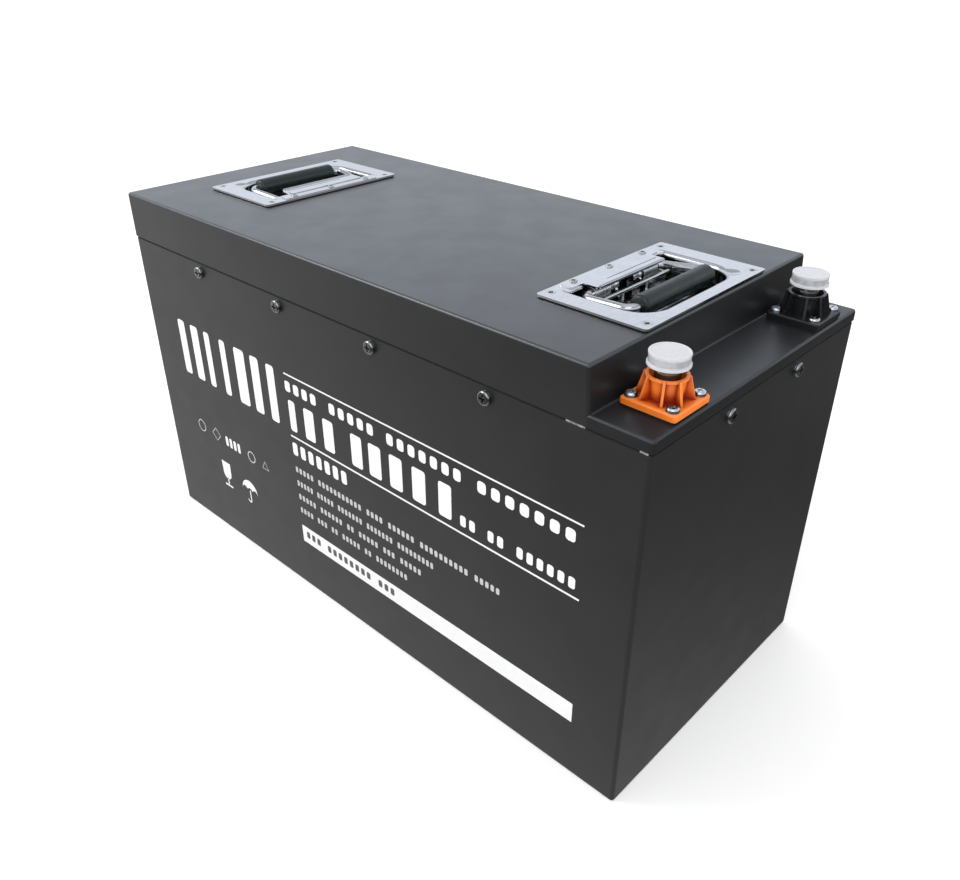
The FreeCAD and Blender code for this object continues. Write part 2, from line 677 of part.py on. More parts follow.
def crown_rib(turn_deg):
    """Upright fin whose outer edge slopes in from the flange to the barrel's top."""
    root = BARREL_FOOT_RADIUS - OVERRUN
    outline = [
        Vector(root, -RIB_THICKNESS / 2, FLANGE_TOP - OVERRUN),
        Vector(CROWN_FOOT_RADIUS, -RIB_THICKNESS / 2, FLANGE_TOP - OVERRUN),
        Vector(CROWN_FOOT_RADIUS, -RIB_THICKNESS / 2, FLANGE_TOP),
        Vector(CROWN_RADIUS, -RIB_THICKNESS / 2, CROWN_TOP),
        Vector(root, -RIB_THICKNESS / 2, CROWN_TOP),
    ]
    rib = Part.Face(Part.makePolygon(outline + outline[:1])).extrude(Y_AXIS * RIB_THICKNESS)
    rib.rotate(Vector(0, 0, 0), Z_AXIS, turn_deg)
    return rib


def terminal_base():
    """Moulded insulator: square flange, ribbed barrel round the post, and a boss into the case."""
    flange = rounded_block(around(FLANGE_HALF), around(FLANGE_HALF),
                           (TERMINAL_GASKET, FLANGE_TOP), FLANGE_CORNER)
    flange = flange.makeChamfer(FLANGE_CHAMFER, level_edges(flange, FLANGE_TOP))
    barrel = Part.makeCone(BARREL_FOOT_RADIUS, BARREL_TOP_RADIUS, CROWN_TOP - TERMINAL_GASKET,
                           Vector(0, 0, TERMINAL_GASKET))
    boss = disc(BOSS_RADIUS, 0, 0, (BOSS_BOTTOM, TERMINAL_GASKET + OVERRUN))
    rim = disc(CROWN_RIM[0], 0, 0, (CROWN_TOP - CROWN_RIM[1], CROWN_TOP))
    ribs = [
        crown_rib(diagonal + offset) for diagonal in (45, 135, 225, 315)
        for offset in (-RIB_OFFSET_DEG, RIB_OFFSET_DEG)
    ]
    base = fused([flange, barrel, rim, boss] + ribs)
    bore = POST_NECK + HOLE_GAP / 2
    socket = disc(bore, 0, 0, (BOSS_BOTTOM + BOSS_FLOOR, CROWN_TOP + OVERRUN))
    stud_hole = disc(POST_STUD + HOLE_GAP, 0, 0, (BOSS_BOTTOM - OVERRUN, BOSS_BOTTOM + BOSS_FLOOR))
    mouth = Part.makeCone(bore, BARREL_MOUTH[0], BARREL_MOUTH[1],
                          Vector(0, 0, CROWN_TOP - BARREL_MOUTH[1]))
    drills = [
        disc(TERMINAL_SCREW[2] + HOLE_GAP, x, y, (0, FLANGE_TOP + OVERRUN))
        for x, y in terminal_screw_places()
    ]
    return without(base, [socket, stud_hole, mouth] + drills)


def terminal_gasket():
    half = FLANGE_HALF - CASE_INSET
    sheet = rounded_block(around(half), around(half), (0, TERMINAL_GASKET), FLANGE_CORNER)
    drills = [disc(SHELF_HOLE, 0, 0, (-OVERRUN, TERMINAL_GASKET + OVERRUN))]
    for x, y in terminal_screw_places():
        drills.append(disc(TERMINAL_SCREW[2] + HOLE_GAP, x, y,
                           (-OVERRUN, TERMINAL_GASKET + OVERRUN)))
    return without(sheet, drills)


def terminal_screws():
    length = FLANGE_TOP + SHEET + SMALL_NUT[1] + THREAD_SHOWING
    screw = pan_screw(*TERMINAL_SCREW, length)
    return [placed(screw, Vector(x, y, FLANGE_TOP)) for x, y in terminal_screw_places()]


def terminal_screw_nuts():
    plain = nut(*SMALL_NUT, TERMINAL_SCREW[2] + THREAD_GAP)
    return [placed(plain, Vector(x, y, -SHEET - SMALL_NUT[1])) for x, y in terminal_screw_places()]


def terminal_post():
    """Plated post: contact disc with a tapped hole, neck, and a stud for the inner cable."""
    disc_bottom = POST_TOP - POST_DISC[1]
    neck_bottom = BOSS_BOTTOM + BOSS_FLOOR
    head = disc(POST_DISC[0], 0, 0, (disc_bottom, POST_TOP))
    head = head.makeChamfer(
        POST_DISC_CHAMFER, level_edges(head, POST_TOP) + level_edges(head, disc_bottom))
    neck = disc(POST_NECK, 0, 0, (neck_bottom, disc_bottom + OVERRUN))
    stud = disc(POST_STUD, 0, 0, (POST_STUD_END, neck_bottom + OVERRUN))
    thread = disc(POST_THREAD, 0, 0, (POST_TOP - POST_THREAD_DEPTH, POST_TOP + OVERRUN))
    return fused([head, neck, stud]).cut(thread)


def terminal_cap():
    """Push-on protective cap: a beaded foot, a waist, a rim and a shallow dish in its top."""
    dish_radius, dish_depth = CAP_DISH
    slope = (CAP_RADIUS - CAP_WAIST, CAP_FOOT_RADIUS - CAP_WAIST)
    profile = [
        (CAP_BORE, CAP_BOTTOM),
        (CAP_FOOT_RADIUS, CAP_BOTTOM),
        (CAP_FOOT_RADIUS, CAP_BOTTOM + CAP_BEAD),
        (CAP_WAIST, CAP_BOTTOM + CAP_BEAD + slope[1]),
        (CAP_WAIST, CAP_TOP - CAP_BEAD - slope[0]),
        (CAP_RADIUS, CAP_TOP - CAP_BEAD),
        (CAP_RADIUS, CAP_TOP),
        (dish_radius + dish_depth, CAP_TOP),
        (dish_radius, CAP_TOP - dish_depth),
        (0, CAP_TOP - dish_depth),
        (0, CAP_CEILING),
        (CAP_BORE, CAP_CEILING),
    ]
    points = [Vector(radius, 0, z) for radius, z in profile]
    cap = Part.Face(Part.makePolygon(points + points[:1])).revolve(Vector(0, 0, 0), Z_AXIS, 360)
    outer = [edge for edge in level_edges(cap, CAP_TOP) if edge.BoundBox.XMax > CAP_WAIST]
    return cap.makeFillet(CAP_BEAD / 2, outer)


def terminal_clamp_nut():
    clamp = nut(*CLAMP_NUT, POST_STUD + THREAD_GAP)
    return placed(clamp, Vector(0, 0, BOSS_BOTTOM - LUG_SHEET - CLAMP_NUT[1]))


# ------------------------------------------------------------------------------------- cell pack

def cell_x(index):
    return (index - (CELLS - 1) / 2) * CELL_PITCH


def cell_cans():
    cans = []
    top = CELL_TOP - CELL_LID
    for index in range(CELLS):
        x = cell_x(index)
        outer = block(around(CELL[0] / 2, x), around(CELL[1] / 2), (CELL_BOTTOM, top))
        inner = block(around(CELL[0] / 2 - CAN_WALL, x), around(CELL[1] / 2 - CAN_WALL),
                      (CELL_BOTTOM + CAN_WALL, top + OVERRUN))
        cans.append(outer.cut(inner))
    return cans


def cell_electrodes():
    inset = CAN_WALL + ELECTRODE_GAP
    return [
        block(around(CELL[0] / 2 - inset, cell_x(index)), around(CELL[1] / 2 - inset),
              (CELL_BOTTOM + CAN_WALL, CELL_TOP - CELL_LID - inset))
        for index in range(CELLS)
    ]


def cell_lids():
    return [
        block(around(CELL[0] / 2, cell_x(index)), around(CELL[1] / 2),
              (CELL_TOP - CELL_LID, CELL_TOP))
        for index in range(CELLS)
    ]


def cell_posts():
    posts = []
    for index in range(CELLS):
        for side in (-1, 1):
            x, y = cell_x(index), side * POST_SPREAD
            foot = disc(POLE[0], x, y, (CELL_TOP, CELL_TOP + POLE[1]))
            stud = disc(POLE[2], x, y, (CELL_TOP, STUD_TOP))
            posts.append(foot.fuse(stud).removeSplitter())
    return posts


def cell_separators():
    return [
        block(around(SEPARATOR / 2, cell_x(index) + CELL_PITCH / 2), around(CELL[1] / 2),
              (CELL_BOTTOM, CELL_TOP))
        for index in range(CELLS - 1)
    ]


def pack_half_length():
    return cell_x(CELLS - 1) + CELL[0] / 2 + END_PLATE


def pack_end_plates():
    outer = pack_half_length()
    height = (CELL_BOTTOM, CELL_TOP - CELL_LID)
    return [
        block((outer - END_PLATE, outer), around(CELL[1] / 2), height),
        block((-outer, END_PLATE - outer), around(CELL[1] / 2), height),
    ]


def pack_straps():
    straps = []
    half_x = pack_half_length()
    half_y = CELL[1] / 2
    for z in STRAP_HEIGHTS:
        height = around(STRAP[1] / 2, z)
        outer = block(around(half_x + STRAP[0]), around(half_y + STRAP[0]), height)
        straps.append(outer.cut(block(around(half_x), around(half_y),
                                      (height[0] - OVERRUN, height[1] + OVERRUN))))
    return straps


def busbar(first, last, side):
    """Flat bar over the poles of cells first to last on one side of the pack."""
    bottom = CELL_TOP + POLE[1]
    height = (bottom, bottom + BUSBAR[1])
    y = side * POST_SPREAD
    bar = rounded_block((cell_x(first) - BUSBAR_OVERHANG, cell_x(last) + BUSBAR_OVERHANG),
                        around(BUSBAR[0] / 2, y), height, BUSBAR_CORNER)
    drills = [
        disc(POLE[2] + POLE_GAP, cell_x(index), y, (height[0] - OVERRUN, height[1] + OVERRUN))
        for index in range(first, last + 1)
    ]
    return without(bar, drills)


def busbar_links():
    """Each link joins one group's poles to the next group's opposite poles."""
    return [
        busbar(group * GROUP, (group + 2) * GROUP - 1, -1 if group % 2 == 0 else 1)
        for group in range(CELLS // GROUP - 1)
    ]


def pole_nuts():
    """A nut on every pole, and a second one over each of the two cable lugs."""
    plain = nut(*POLE_NUT, POLE[2] + THREAD_GAP)
    seat = CELL_TOP + POLE[1] + BUSBAR[1]
    nuts = [
        placed(plain, Vector(cell_x(index), side * POST_SPREAD, seat))
        for index in range(CELLS) for side in (-1, 1)
    ]
    for index in (1, CELLS - 2):
        nuts.append(placed(plain, Vector(cell_x(index), POST_SPREAD, pole_lug_z() + LUG_SHEET)))
    return nuts


def pole_lug_z():
    return CELL_TOP + POLE[1] + BUSBAR[1] + POLE_NUT[1]


def pack_top_board():
    x, y, z, thickness = TOP_BOARD
    board = block(around(x / 2), around(y / 2), (z, z + thickness))
    drills = [
        disc(BMS_SCREW[2] + HOLE_GAP, px, py, (z - OVERRUN, z + thickness + OVERRUN))
        for px, py in bms_feet()
    ]
    return without(board, drills)


def foam_base_pad():
    half_x = LENGTH / 2 - CASE_INSET - SHEET - BASE_PAD_GAP
    half_y = WIDTH / 2 - CASE_INSET - SHEET - BASE_PAD_GAP
    return rounded_block(around(half_x), around(half_y), (SHEET, CELL_BOTTOM), BASE_PAD_CORNER)


def foam_end_pads():
    inner = pack_half_length() + STRAP[0] + END_PAD_GAP
    outer = LENGTH / 2 - CASE_INSET - SHEET - END_PAD_GAP
    half_y = CELL[1] / 2 - PAD_SETBACK
    height = (CELL_BOTTOM, CELL_TOP - PAD_DROP)
    return [
        block((inner, outer), around(half_y), height),
        block((-outer, -inner), around(half_y), height),
    ]


def foam_side_pads():
    inner = CELL[1] / 2 + STRAP[0] + SIDE_PAD_GAP
    outer = WIDTH / 2 - CASE_INSET - SHEET - SIDE_PAD_GAP
    half_x = pack_half_length() - PAD_SETBACK
    height = (CELL_BOTTOM, CELL_TOP - PAD_DROP)
    return [
        block(around(half_x), (inner, outer), height),
        block(around(half_x), (-outer, -inner), height),
    ]


# --------------------------------------------------------------- battery management and cables

def bms_floor():
    return TOP_BOARD[2] + TOP_BOARD[3]


def bms_feet():
    x = BMS[0] + BMS_FOOT_CENTRE[0]
    y = BMS[1] - BMS_FOOT_CENTRE[1]
    return [(side_x * x, side_y * y) for side_x in (-1, 1) for side_y in (-1, 1)]


def bms_board_height():
    bottom = bms_floor() + BMS_BOARD[0]
    return (bottom, bottom + BMS_BOARD[1])


def bms_clamp_block(side, grow):
    """Copper clamp block that leaves the housing at one end; grow makes its window."""
    inside, outside, half_width, above = BMS_CLAMP
    x = (BMS[0] - inside, BMS[0] + outside)
    if side < 0:
        x = (-x[1], -x[0])
    z = (bms_board_height()[1] - grow, bms_floor() + BMS_CABLE[1] + above + grow)
    return block(x, around(half_width + grow, BMS_CABLE[0]), z)


def bms_housing():
    """Cast cover with cooling fins, four feet and posts that hold the circuit board down."""
    floor = bms_floor()
    top = floor + BMS[2]
    foot_reach, foot_half, foot_height = BMS_FOOT
    shell = rounded_block(around(BMS[0]), around(BMS[1]), (floor, top), BMS_CORNER)
    hollow = block(around(BMS[0] - BMS_WALL), around(BMS[1] - BMS_WALL),
                   (floor - OVERRUN, top - BMS_WALL))
    pieces = [shell.cut(hollow)]
    for fin in range(BMS_FINS):
        y = (fin - (BMS_FINS - 1) / 2) * 2 * (BMS[1] - BMS_FIN_INSET) / (BMS_FINS - 1)
        pieces.append(block(around(BMS[0] - BMS_FIN_INSET), around(BMS_FIN[0] / 2, y),
                            (top - OVERRUN, top + BMS_FIN[1])))
    for x, y in bms_feet():
        reach = (BMS[0] - OVERRUN, BMS[0] + foot_reach)
        if x < 0:
            reach = (-reach[1], -reach[0])
        pieces.append(block(reach, around(foot_half, y), (floor, floor + foot_height)))
    for x, y in BMS_POSTS:
        height = (bms_board_height()[1], top - BMS_WALL + OVERRUN)
        pieces.append(disc(BMS_POST_RADIUS, x, y, height))
    cutters = [bms_clamp_block(side, BMS_WINDOW_GAP) for side in (-1, 1)]
    for x, y in bms_feet():
        height = (floor - OVERRUN, floor + foot_height + OVERRUN)
        cutters.append(disc(BMS_SCREW[2] + HOLE_GAP, x, y, height))
    return without(fused(pieces), cutters)


def bms_board():
    inset = BMS_BOARD[2]
    return block(around(BMS[0] - inset), around(BMS[1] - inset), bms_board_height())


def bms_connectors():
    blocks = []
    for side in (-1, 1):
        mouth = Vector(side * (BMS[0] + BMS_WALL), BMS_CABLE[0], bms_floor() + BMS_CABLE[1])
        bore = Part.makeCylinder(CABLE_RADIUS + HOLE_GAP / 2, CABLE_INSERTION, mouth,
                                 X_AXIS * side)
        blocks.append(bms_clamp_block(side, 0).cut(bore))
    return blocks


def bms_screws():
    screw = pan_screw(*BMS_SCREW, BMS_FOOT[2] + TOP_BOARD[3])
    return [placed(screw, Vector(x, y, bms_floor() + BMS_FOOT[2])) for x, y in bms_feet()]


def cable_lug(hole, barrel_z, reach):
    """Ring terminal lying flat at its origin, with its crimp barrel along +X."""
    ring = disc(hole + LUG_RING, 0, 0, (0, LUG_SHEET))
    neck = block((0, reach + OVERRUN), around(LUG_NECK), (0, LUG_SHEET))
    barrel = Part.makeCylinder(LUG_BARREL, LUG_BARREL_LENGTH, Vector(reach, 0, barrel_z), X_AXIS)
    bore = Part.makeCylinder(CABLE_RADIUS + HOLE_GAP / 2, LUG_BARREL_LENGTH,
                             Vector(reach + 2 * OVERRUN, 0, barrel_z), X_AXIS)
    hole_cut = disc(hole, 0, 0, (-OVERRUN, LUG_SHEET + OVERRUN))
    return without(fused([ring, neck, barrel]), [bore, hole_cut])


def post_lug_z():
    return SHELF_HEIGHT + BOSS_BOTTOM - LUG_SHEET


def cable_lugs():
    pole_lug = cable_lug(POLE[2] + HOLE_GAP, *POLE_LUG)
    post_lug = cable_lug(POST_STUD + HOLE_GAP, LUG_SHEET - LUG_BARREL, POST_LUG_REACH)
    along_y = Rotation(Z_AXIS, 90)
    lugs = []
    for index in (1, CELLS - 2):
        lug = pole_lug.copy()
        lug.Placement = Placement(Vector(cell_x(index), POST_SPREAD, pole_lug_z()), along_y)
        lugs.append(lug)
    for y, turn in ((-TERMINAL_Y, along_y), (TERMINAL_Y, Rotation(Z_AXIS, 180))):
        lug = post_lug.copy()
        lug.Placement = Placement(Vector(TERMINAL_X, y, post_lug_z()), turn)
        lugs.append(lug)
    return lugs


def cable_starts():
    """How far from a lug's hole the cable starts inside its barrel: pole lugs, post lugs."""
    return (POLE_LUG[1] + 2.5 * OVERRUN, POST_LUG_REACH + 3 * OVERRUN)


def cable_positive():
    """From the last group's bar, along the +X end under the shelf, to the positive post."""
    pole_start, post_start = cable_starts()
    low = pole_lug_z() + POLE_LUG[0]
    high = post_lug_z() + LUG_SHEET - LUG_BARREL
    x = cell_x(CELLS - 2)
    points = [
        Vector(x, POST_SPREAD + pole_start, low),
        Vector(x, CABLE_SIDE_Y, low),
        Vector(x, CABLE_SIDE_Y, CABLE_END_Z),
        Vector(CABLE_END_X, CABLE_SIDE_Y, CABLE_END_Z),
        Vector(CABLE_END_X, CABLE_CLIMB_Y, CABLE_END_Z),
        Vector(TERMINAL_X, CABLE_LEVEL_Y - TERMINAL_Y, high),
        Vector(TERMINAL_X, post_start - TERMINAL_Y, high),
    ]
    return bent_rod(points, CABLE_BEND, CABLE_RADIUS)


def cable_pack_negative():
    """From the first group's bar to the management unit's input clamp."""
    low = pole_lug_z() + POLE_LUG[0]
    bms_z = bms_floor() + BMS_CABLE[1]
    x = cell_x(1)
    points = [
        Vector(x, POST_SPREAD + cable_starts()[0], low),
        Vector(x, CABLE_SIDE_Y, low),
        Vector(CABLE_TURN_X, CABLE_SIDE_Y, bms_z),
        Vector(CABLE_TURN_X, BMS_CABLE[0], bms_z),
        Vector(-BMS[0] - 3 * OVERRUN, BMS_CABLE[0], bms_z),
    ]
    return bent_rod(points, CABLE_BEND, CABLE_RADIUS)


def cable_negative():
    """From the management unit's output clamp to the negative post."""
    bms_z = bms_floor() + BMS_CABLE[1]
    high = post_lug_z() + LUG_SHEET - LUG_BARREL
    low_x, high_x = CABLE_CLIMB_X
    points = [
        Vector(BMS[0] + 3 * OVERRUN, BMS_CABLE[0], bms_z),
        Vector(low_x, BMS_CABLE[0], bms_z),
        Vector(high_x, TERMINAL_Y, high),
        Vector(TERMINAL_X - cable_starts()[1], TERMINAL_Y, high),
    ]
    return bent_rod(points, CABLE_BEND, CABLE_RADIUS)


def balance_leads():
    """A thin sense wire from each bar to the side of the management unit."""
    start_z = CELL_TOP + POLE[1] + BUSBAR[1] + BALANCE_WIRE
    run_z = bms_floor() + BALANCE_RISE
    bar_y, run_y = BALANCE_Y
    leads = []
    for start_x, end_x, side in BALANCE_ROUTES:
        points = [
            Vector(start_x, side * bar_y, start_z),
            Vector(start_x, side * run_y, start_z),
            Vector(start_x, side * run_y, run_z),
        ]
        if start_x != end_x:
            points.append(Vector(end_x, side * run_y, run_z))
        points.append(Vector(end_x, side * (BMS[1] + HOLE_GAP), run_z))
        leads.append(bent_rod(points, BALANCE_BEND, BALANCE_WIRE))
    return leads


# ------------------------------------------------------------------------------------ write parts

def write_case():
    save("case_body", [case_body()])
    save("case_gasket", [case_gasket()])
    save("lid", [lid()])
    save("lid_inner_frame", [lid_inner_frame()])
    save("lid_screws", lid_screws())
    save("lid_weld_nuts", lid_weld_nuts())


def write_handles():
    for side, name in ((1, "right"), (-1, "left")):
        save("handle_dish_" + name, [on_lid(handle_dish(), side)])
        save("handle_cover_plate_" + name, [on_lid(handle_cover_plate(), side)])
        save("handle_bracket_" + name, [on_lid(handle_bracket(), side)])
        save("handle_bail_" + name, [on_lid(handle_bail(), side)])
        save("handle_grip_" + name, [on_lid(handle_grip(), side)])
        save("handle_springs_" + name, [on_lid(coil, side) for coil in handle_springs()])
    for name, make in (("handle_rivets", handle_rivets), ("handle_screws", handle_screws),
                       ("handle_nuts", handle_nuts)):
        save(name, [on_lid(shape, side) for side in (-1, 1) for shape in make()])
    save("handle_gaskets", [on_lid(handle_gasket(), side) for side in (-1, 1)])


def write_terminals():
    for side, name in ((-1, "positive"), (1, "negative")):
        save("terminal_base_" + name, [on_shelf(terminal_base(), side)])
        save("terminal_post_" + name, [on_shelf(terminal_post(), side)])
        save("terminal_cap_" + name, [on_shelf(terminal_cap(), side)])
    save("terminal_gaskets", [on_shelf(terminal_gasket(), side) for side in (-1, 1)])
    save("terminal_clamp_nuts", [on_shelf(terminal_clamp_nut(), side) for side in (-1, 1)])
    for name, make in (("terminal_screws", terminal_screws),
                       ("terminal_screw_nuts", terminal_screw_nuts)):
        save(name, [on_shelf(shape, side) for side in (-1, 1) for shape in make()])


def write_pack():
    save("cell_cans", cell_cans())
    save("cell_electrodes", cell_electrodes())
    save("cell_lids", cell_lids())
    save("cell_posts", cell_posts())
    save("cell_separators", cell_separators())
    save("pack_end_plates", pack_end_plates())
    save("pack_straps", pack_straps())
    save("busbar_negative", [busbar(0, GROUP - 1, 1)])
    save("busbar_links", busbar_links())
    save("busbar_positive", [busbar(CELLS - GROUP, CELLS - 1, 1)])
    save("pole_nuts", pole_nuts())
    save("pack_top_board", [pack_top_board()])
    save("foam_base_pad", [foam_base_pad()])
    save("foam_end_pads", foam_end_pads())
    save("foam_side_pads", foam_side_pads())


def write_electrics():
    save("bms_housing", [bms_housing()])
    save("bms_board", [bms_board()])
    save("bms_connectors", bms_connectors())
    save("bms_screws", bms_screws())
    save("cable_lugs", cable_lugs())
    save("cable_positive", [cable_positive()])
    save("cable_pack_negative", [cable_pack_negative()])
    save("cable_negative", [cable_negative()])
    save("balance_leads", balance_leads())


os.makedirs("parts", exist_ok=True)
write_case()
write_handles()
write_terminals()
write_pack()
write_electrics()
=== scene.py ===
import json
import math

import bmesh
import bpy
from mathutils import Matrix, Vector


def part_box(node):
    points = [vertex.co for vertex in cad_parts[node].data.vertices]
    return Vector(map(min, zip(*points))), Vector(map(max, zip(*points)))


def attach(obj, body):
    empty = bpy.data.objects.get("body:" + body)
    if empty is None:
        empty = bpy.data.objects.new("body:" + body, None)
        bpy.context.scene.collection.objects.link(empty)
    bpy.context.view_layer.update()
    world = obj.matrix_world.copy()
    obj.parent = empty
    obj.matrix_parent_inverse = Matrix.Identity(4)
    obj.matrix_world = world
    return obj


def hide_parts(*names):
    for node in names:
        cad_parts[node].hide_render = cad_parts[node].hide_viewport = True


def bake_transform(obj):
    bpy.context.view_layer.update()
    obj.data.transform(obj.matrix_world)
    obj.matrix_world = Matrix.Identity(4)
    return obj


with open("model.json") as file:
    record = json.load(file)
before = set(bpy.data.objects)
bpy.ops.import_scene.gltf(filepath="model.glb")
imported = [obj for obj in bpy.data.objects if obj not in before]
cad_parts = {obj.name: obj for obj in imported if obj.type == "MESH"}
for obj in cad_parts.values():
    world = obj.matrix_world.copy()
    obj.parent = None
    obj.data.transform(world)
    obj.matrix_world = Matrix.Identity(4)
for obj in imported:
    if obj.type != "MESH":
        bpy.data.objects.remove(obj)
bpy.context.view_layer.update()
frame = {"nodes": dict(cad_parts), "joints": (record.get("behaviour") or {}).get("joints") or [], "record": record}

MM = 0.001
NODES = frame["nodes"]
SLOT_OF = {row["node"]: row["material_slot"] for row in frame["record"]["subparts"]}
HINGES = {
    joint["name"]: Vector(joint["pos_m"])
    for joint in frame["joints"] if joint["type"] == "hinge"
}


# -------------------------------------------------------------------------------- shader nodes

EDGE_COSINES = (0.80, 0.995)   # true normal against bevelled normal: on an edge, on a flat face
OPEN_SHARES = (0.45, 0.97)     # how open a point is: deep in a crevice, on an open face


def opaque(colour):
    return colour if isinstance(colour, bpy.types.NodeSocket) else (*colour, 1.0)


class Shading:
    """A node tree being built: a call adds what it needs and returns the socket it gives."""

    def __init__(self, tree):
        self.tree = tree

    def add(self, kind, **settings):
        node = self.tree.nodes.new(kind)
        for key, value in settings.items():
            setattr(node, key, value)
        return node

    def feed(self, socket, value):
        """Link a socket, or write a plain value."""
        if isinstance(value, bpy.types.NodeSocket):
            self.tree.links.new(value, socket)
        else:
            socket.default_value = value

    def axes(self, vector):
        """X, Y and Z of a vector."""
        split = self.add("ShaderNodeSeparateXYZ")
        self.feed(split.inputs["Vector"], vector)
        return tuple(split.outputs)

    def ranged(self, value, start, end, low=0.0, high=1.0, shape="LINEAR"):
        """Map a value between start and end onto low to high, clamped."""
        node = self.add("ShaderNodeMapRange", interpolation_type=shape)
        self.feed(node.inputs["Value"], value)
        for key, number in zip(("From Min", "From Max", "To Min", "To Max"),
                               (start, end, low, high)):
            node.inputs[key].default_value = number
        return node.outputs["Result"]

    def span(self, value, low, high, start=0.3, end=0.7):
        """The same with soft ends; unless told otherwise, over the range that noise fills."""
        return self.ranged(value, start, end, low, high, "SMOOTHSTEP")

    def maths(self, operation, first, second=0.0):
        node = self.add("ShaderNodeMath", operation=operation)
        self.feed(node.inputs[0], first)
        self.feed(node.inputs[1], second)
        return node.outputs[0]

    def blend(self, share, first, second):
        """Colour that goes from first to second as share goes from 0 to 1."""
        node = self.add("ShaderNodeMix", data_type="RGBA")
        self.feed(node.inputs["Factor"], share)
        self.feed(node.inputs[6], opaque(first))
        self.feed(node.inputs[7], opaque(second))
        return node.outputs[2]


class Look(Shading):
    """A material being built on one Principled shader."""

    def __init__(self, name, metallic=0.0):
        self.material = bpy.data.materials.new(name)
        self.material.use_nodes = True
        super().__init__(self.material.node_tree)
        self.shader = self.tree.nodes["Principled BSDF"]
        self.set("Metallic", metallic)
        self.place = self.add("ShaderNodeTexCoord").outputs["Object"]

    def set(self, name, value):
        self.feed(self.shader.inputs[name], value)

    def noise(self, grain_mm, detail=2.0, stretch=(1, 1, 1)):
        """Noise with features about grain_mm across, drawn out along the axes in stretch."""
        mapping = self.add("ShaderNodeMapping")
        self.feed(mapping.inputs["Vector"], self.place)
        mapping.inputs["Scale"].default_value = [1 / share for share in stretch]
        noise = self.add("ShaderNodeTexNoise")
        self.feed(noise.inputs["Vector"], mapping.outputs["Vector"])
        noise.inputs["Scale"].default_value = 1 / (grain_mm * MM)
        noise.inputs["Detail"].default_value = detail
        return noise.outputs["Fac"]

    def bump(self, height, depth_mm):
        """Add relief on top of any that is there already."""
        normal = self.shader.inputs["Normal"]
        node = self.add("ShaderNodeBump")
        if normal.is_linked:
            self.feed(node.inputs["Normal"], normal.links[0].from_socket)
        self.feed(node.inputs["Height"], height)
        node.inputs["Distance"].default_value = depth_mm * MM
        node.inputs["Strength"].default_value = 1.0
        self.feed(normal, node.outputs["Normal"])

    def edge(self, radius_mm):
        """1 at edges sharper than the radius, falling to 0 on flat faces."""
        bevel = self.add("ShaderNodeBevel", samples=4)
        bevel.inputs["Radius"].default_value = radius_mm * MM
        facing = self.add("ShaderNodeVectorMath", operation="DOT_PRODUCT")
        self.feed(facing.inputs[0], bevel.outputs["Normal"])
        self.feed(facing.inputs[1], self.add("ShaderNodeNewGeometry").outputs["Normal"])
        return self.span(facing.outputs["Value"], 1.0, 0.0, *EDGE_COSINES)

    def crevice(self, reach_mm):
        """0 in the open, rising to 1 where the surface is hemmed in within reach_mm."""
        occlusion = self.add("ShaderNodeAmbientOcclusion", samples=8, only_local=True)
        occlusion.inputs["Distance"].default_value = reach_mm * MM
        return self.span(occlusion.outputs["AO"], 1, 0, *OPEN_SHARES)

    def near_any(self, centres, inner_mm, outer_mm):
        """1 within inner_mm of any centre, given as |x| and |y|, fading to 0 at outer_mm."""
        folded = self.add("ShaderNodeVectorMath", operation="ABSOLUTE")
        self.feed(folded.inputs[0], self.place)
        flat = self.add("ShaderNodeVectorMath", operation="MULTIPLY")
        self.feed(flat.inputs[0], folded.outputs["Vector"])
        flat.inputs[1].default_value = (1, 1, 0)
        found = 0.0
        for x, y in centres:
            away = self.add("ShaderNodeVectorMath", operation="DISTANCE")
            self.feed(away.inputs[0], flat.outputs["Vector"])
            away.inputs[1].default_value = (x, y, 0)
            near = self.span(away.outputs["Value"], 1, 0, inner_mm * MM, outer_mm * MM)
            found = self.maths("MAXIMUM", near, found)
        return found

    def vary(self, colour, change, grain_mm):
        """Base colour with a slow drift of lightness across the surface."""
        darker = tuple(channel * (1 - change) for channel in colour)
        drift = self.span(self.noise(grain_mm), 0, 1)
        self.set("Base Color", self.blend(drift, darker, colour))

    def dim_in_mirrors(self, share):
        """Darken the base colour to a share where it is seen in another surface."""
        colour = self.shader.inputs["Base Color"]
        seen = colour.links[0].from_socket
        dark = self.add("ShaderNodeVectorMath", operation="SCALE")
        self.feed(dark.inputs[0], seen)
        dark.inputs["Scale"].default_value = share
        mirrored = self.add("ShaderNodeLightPath").outputs["Is Glossy Ray"]
        self.feed(colour, self.blend(mirrored, seen, dark.outputs["Vector"]))


# ------------------------------------------------------------------------------------ materials

MIRRORED_SHARE = 0.2           # of its colour that a part keeps where the paint mirrors it

PAINT = ((0.011, 0.011, 0.0118), (0.0135, 0.0136, 0.0143))
# Colour of the upward edges: worn paint together with a painted highlight
WORN_AND_LIT_PAINT = (0.10, 0.10, 0.104)
PAINT_SHINE = 0.75
PAINT_COAT = 0.5
STEP_X = 218.0 * MM            # the step wall down to the terminal shelf starts here
SHELF_GLOSS = 0.62             # share of the paint's shine on the sheltered shelf and step wall


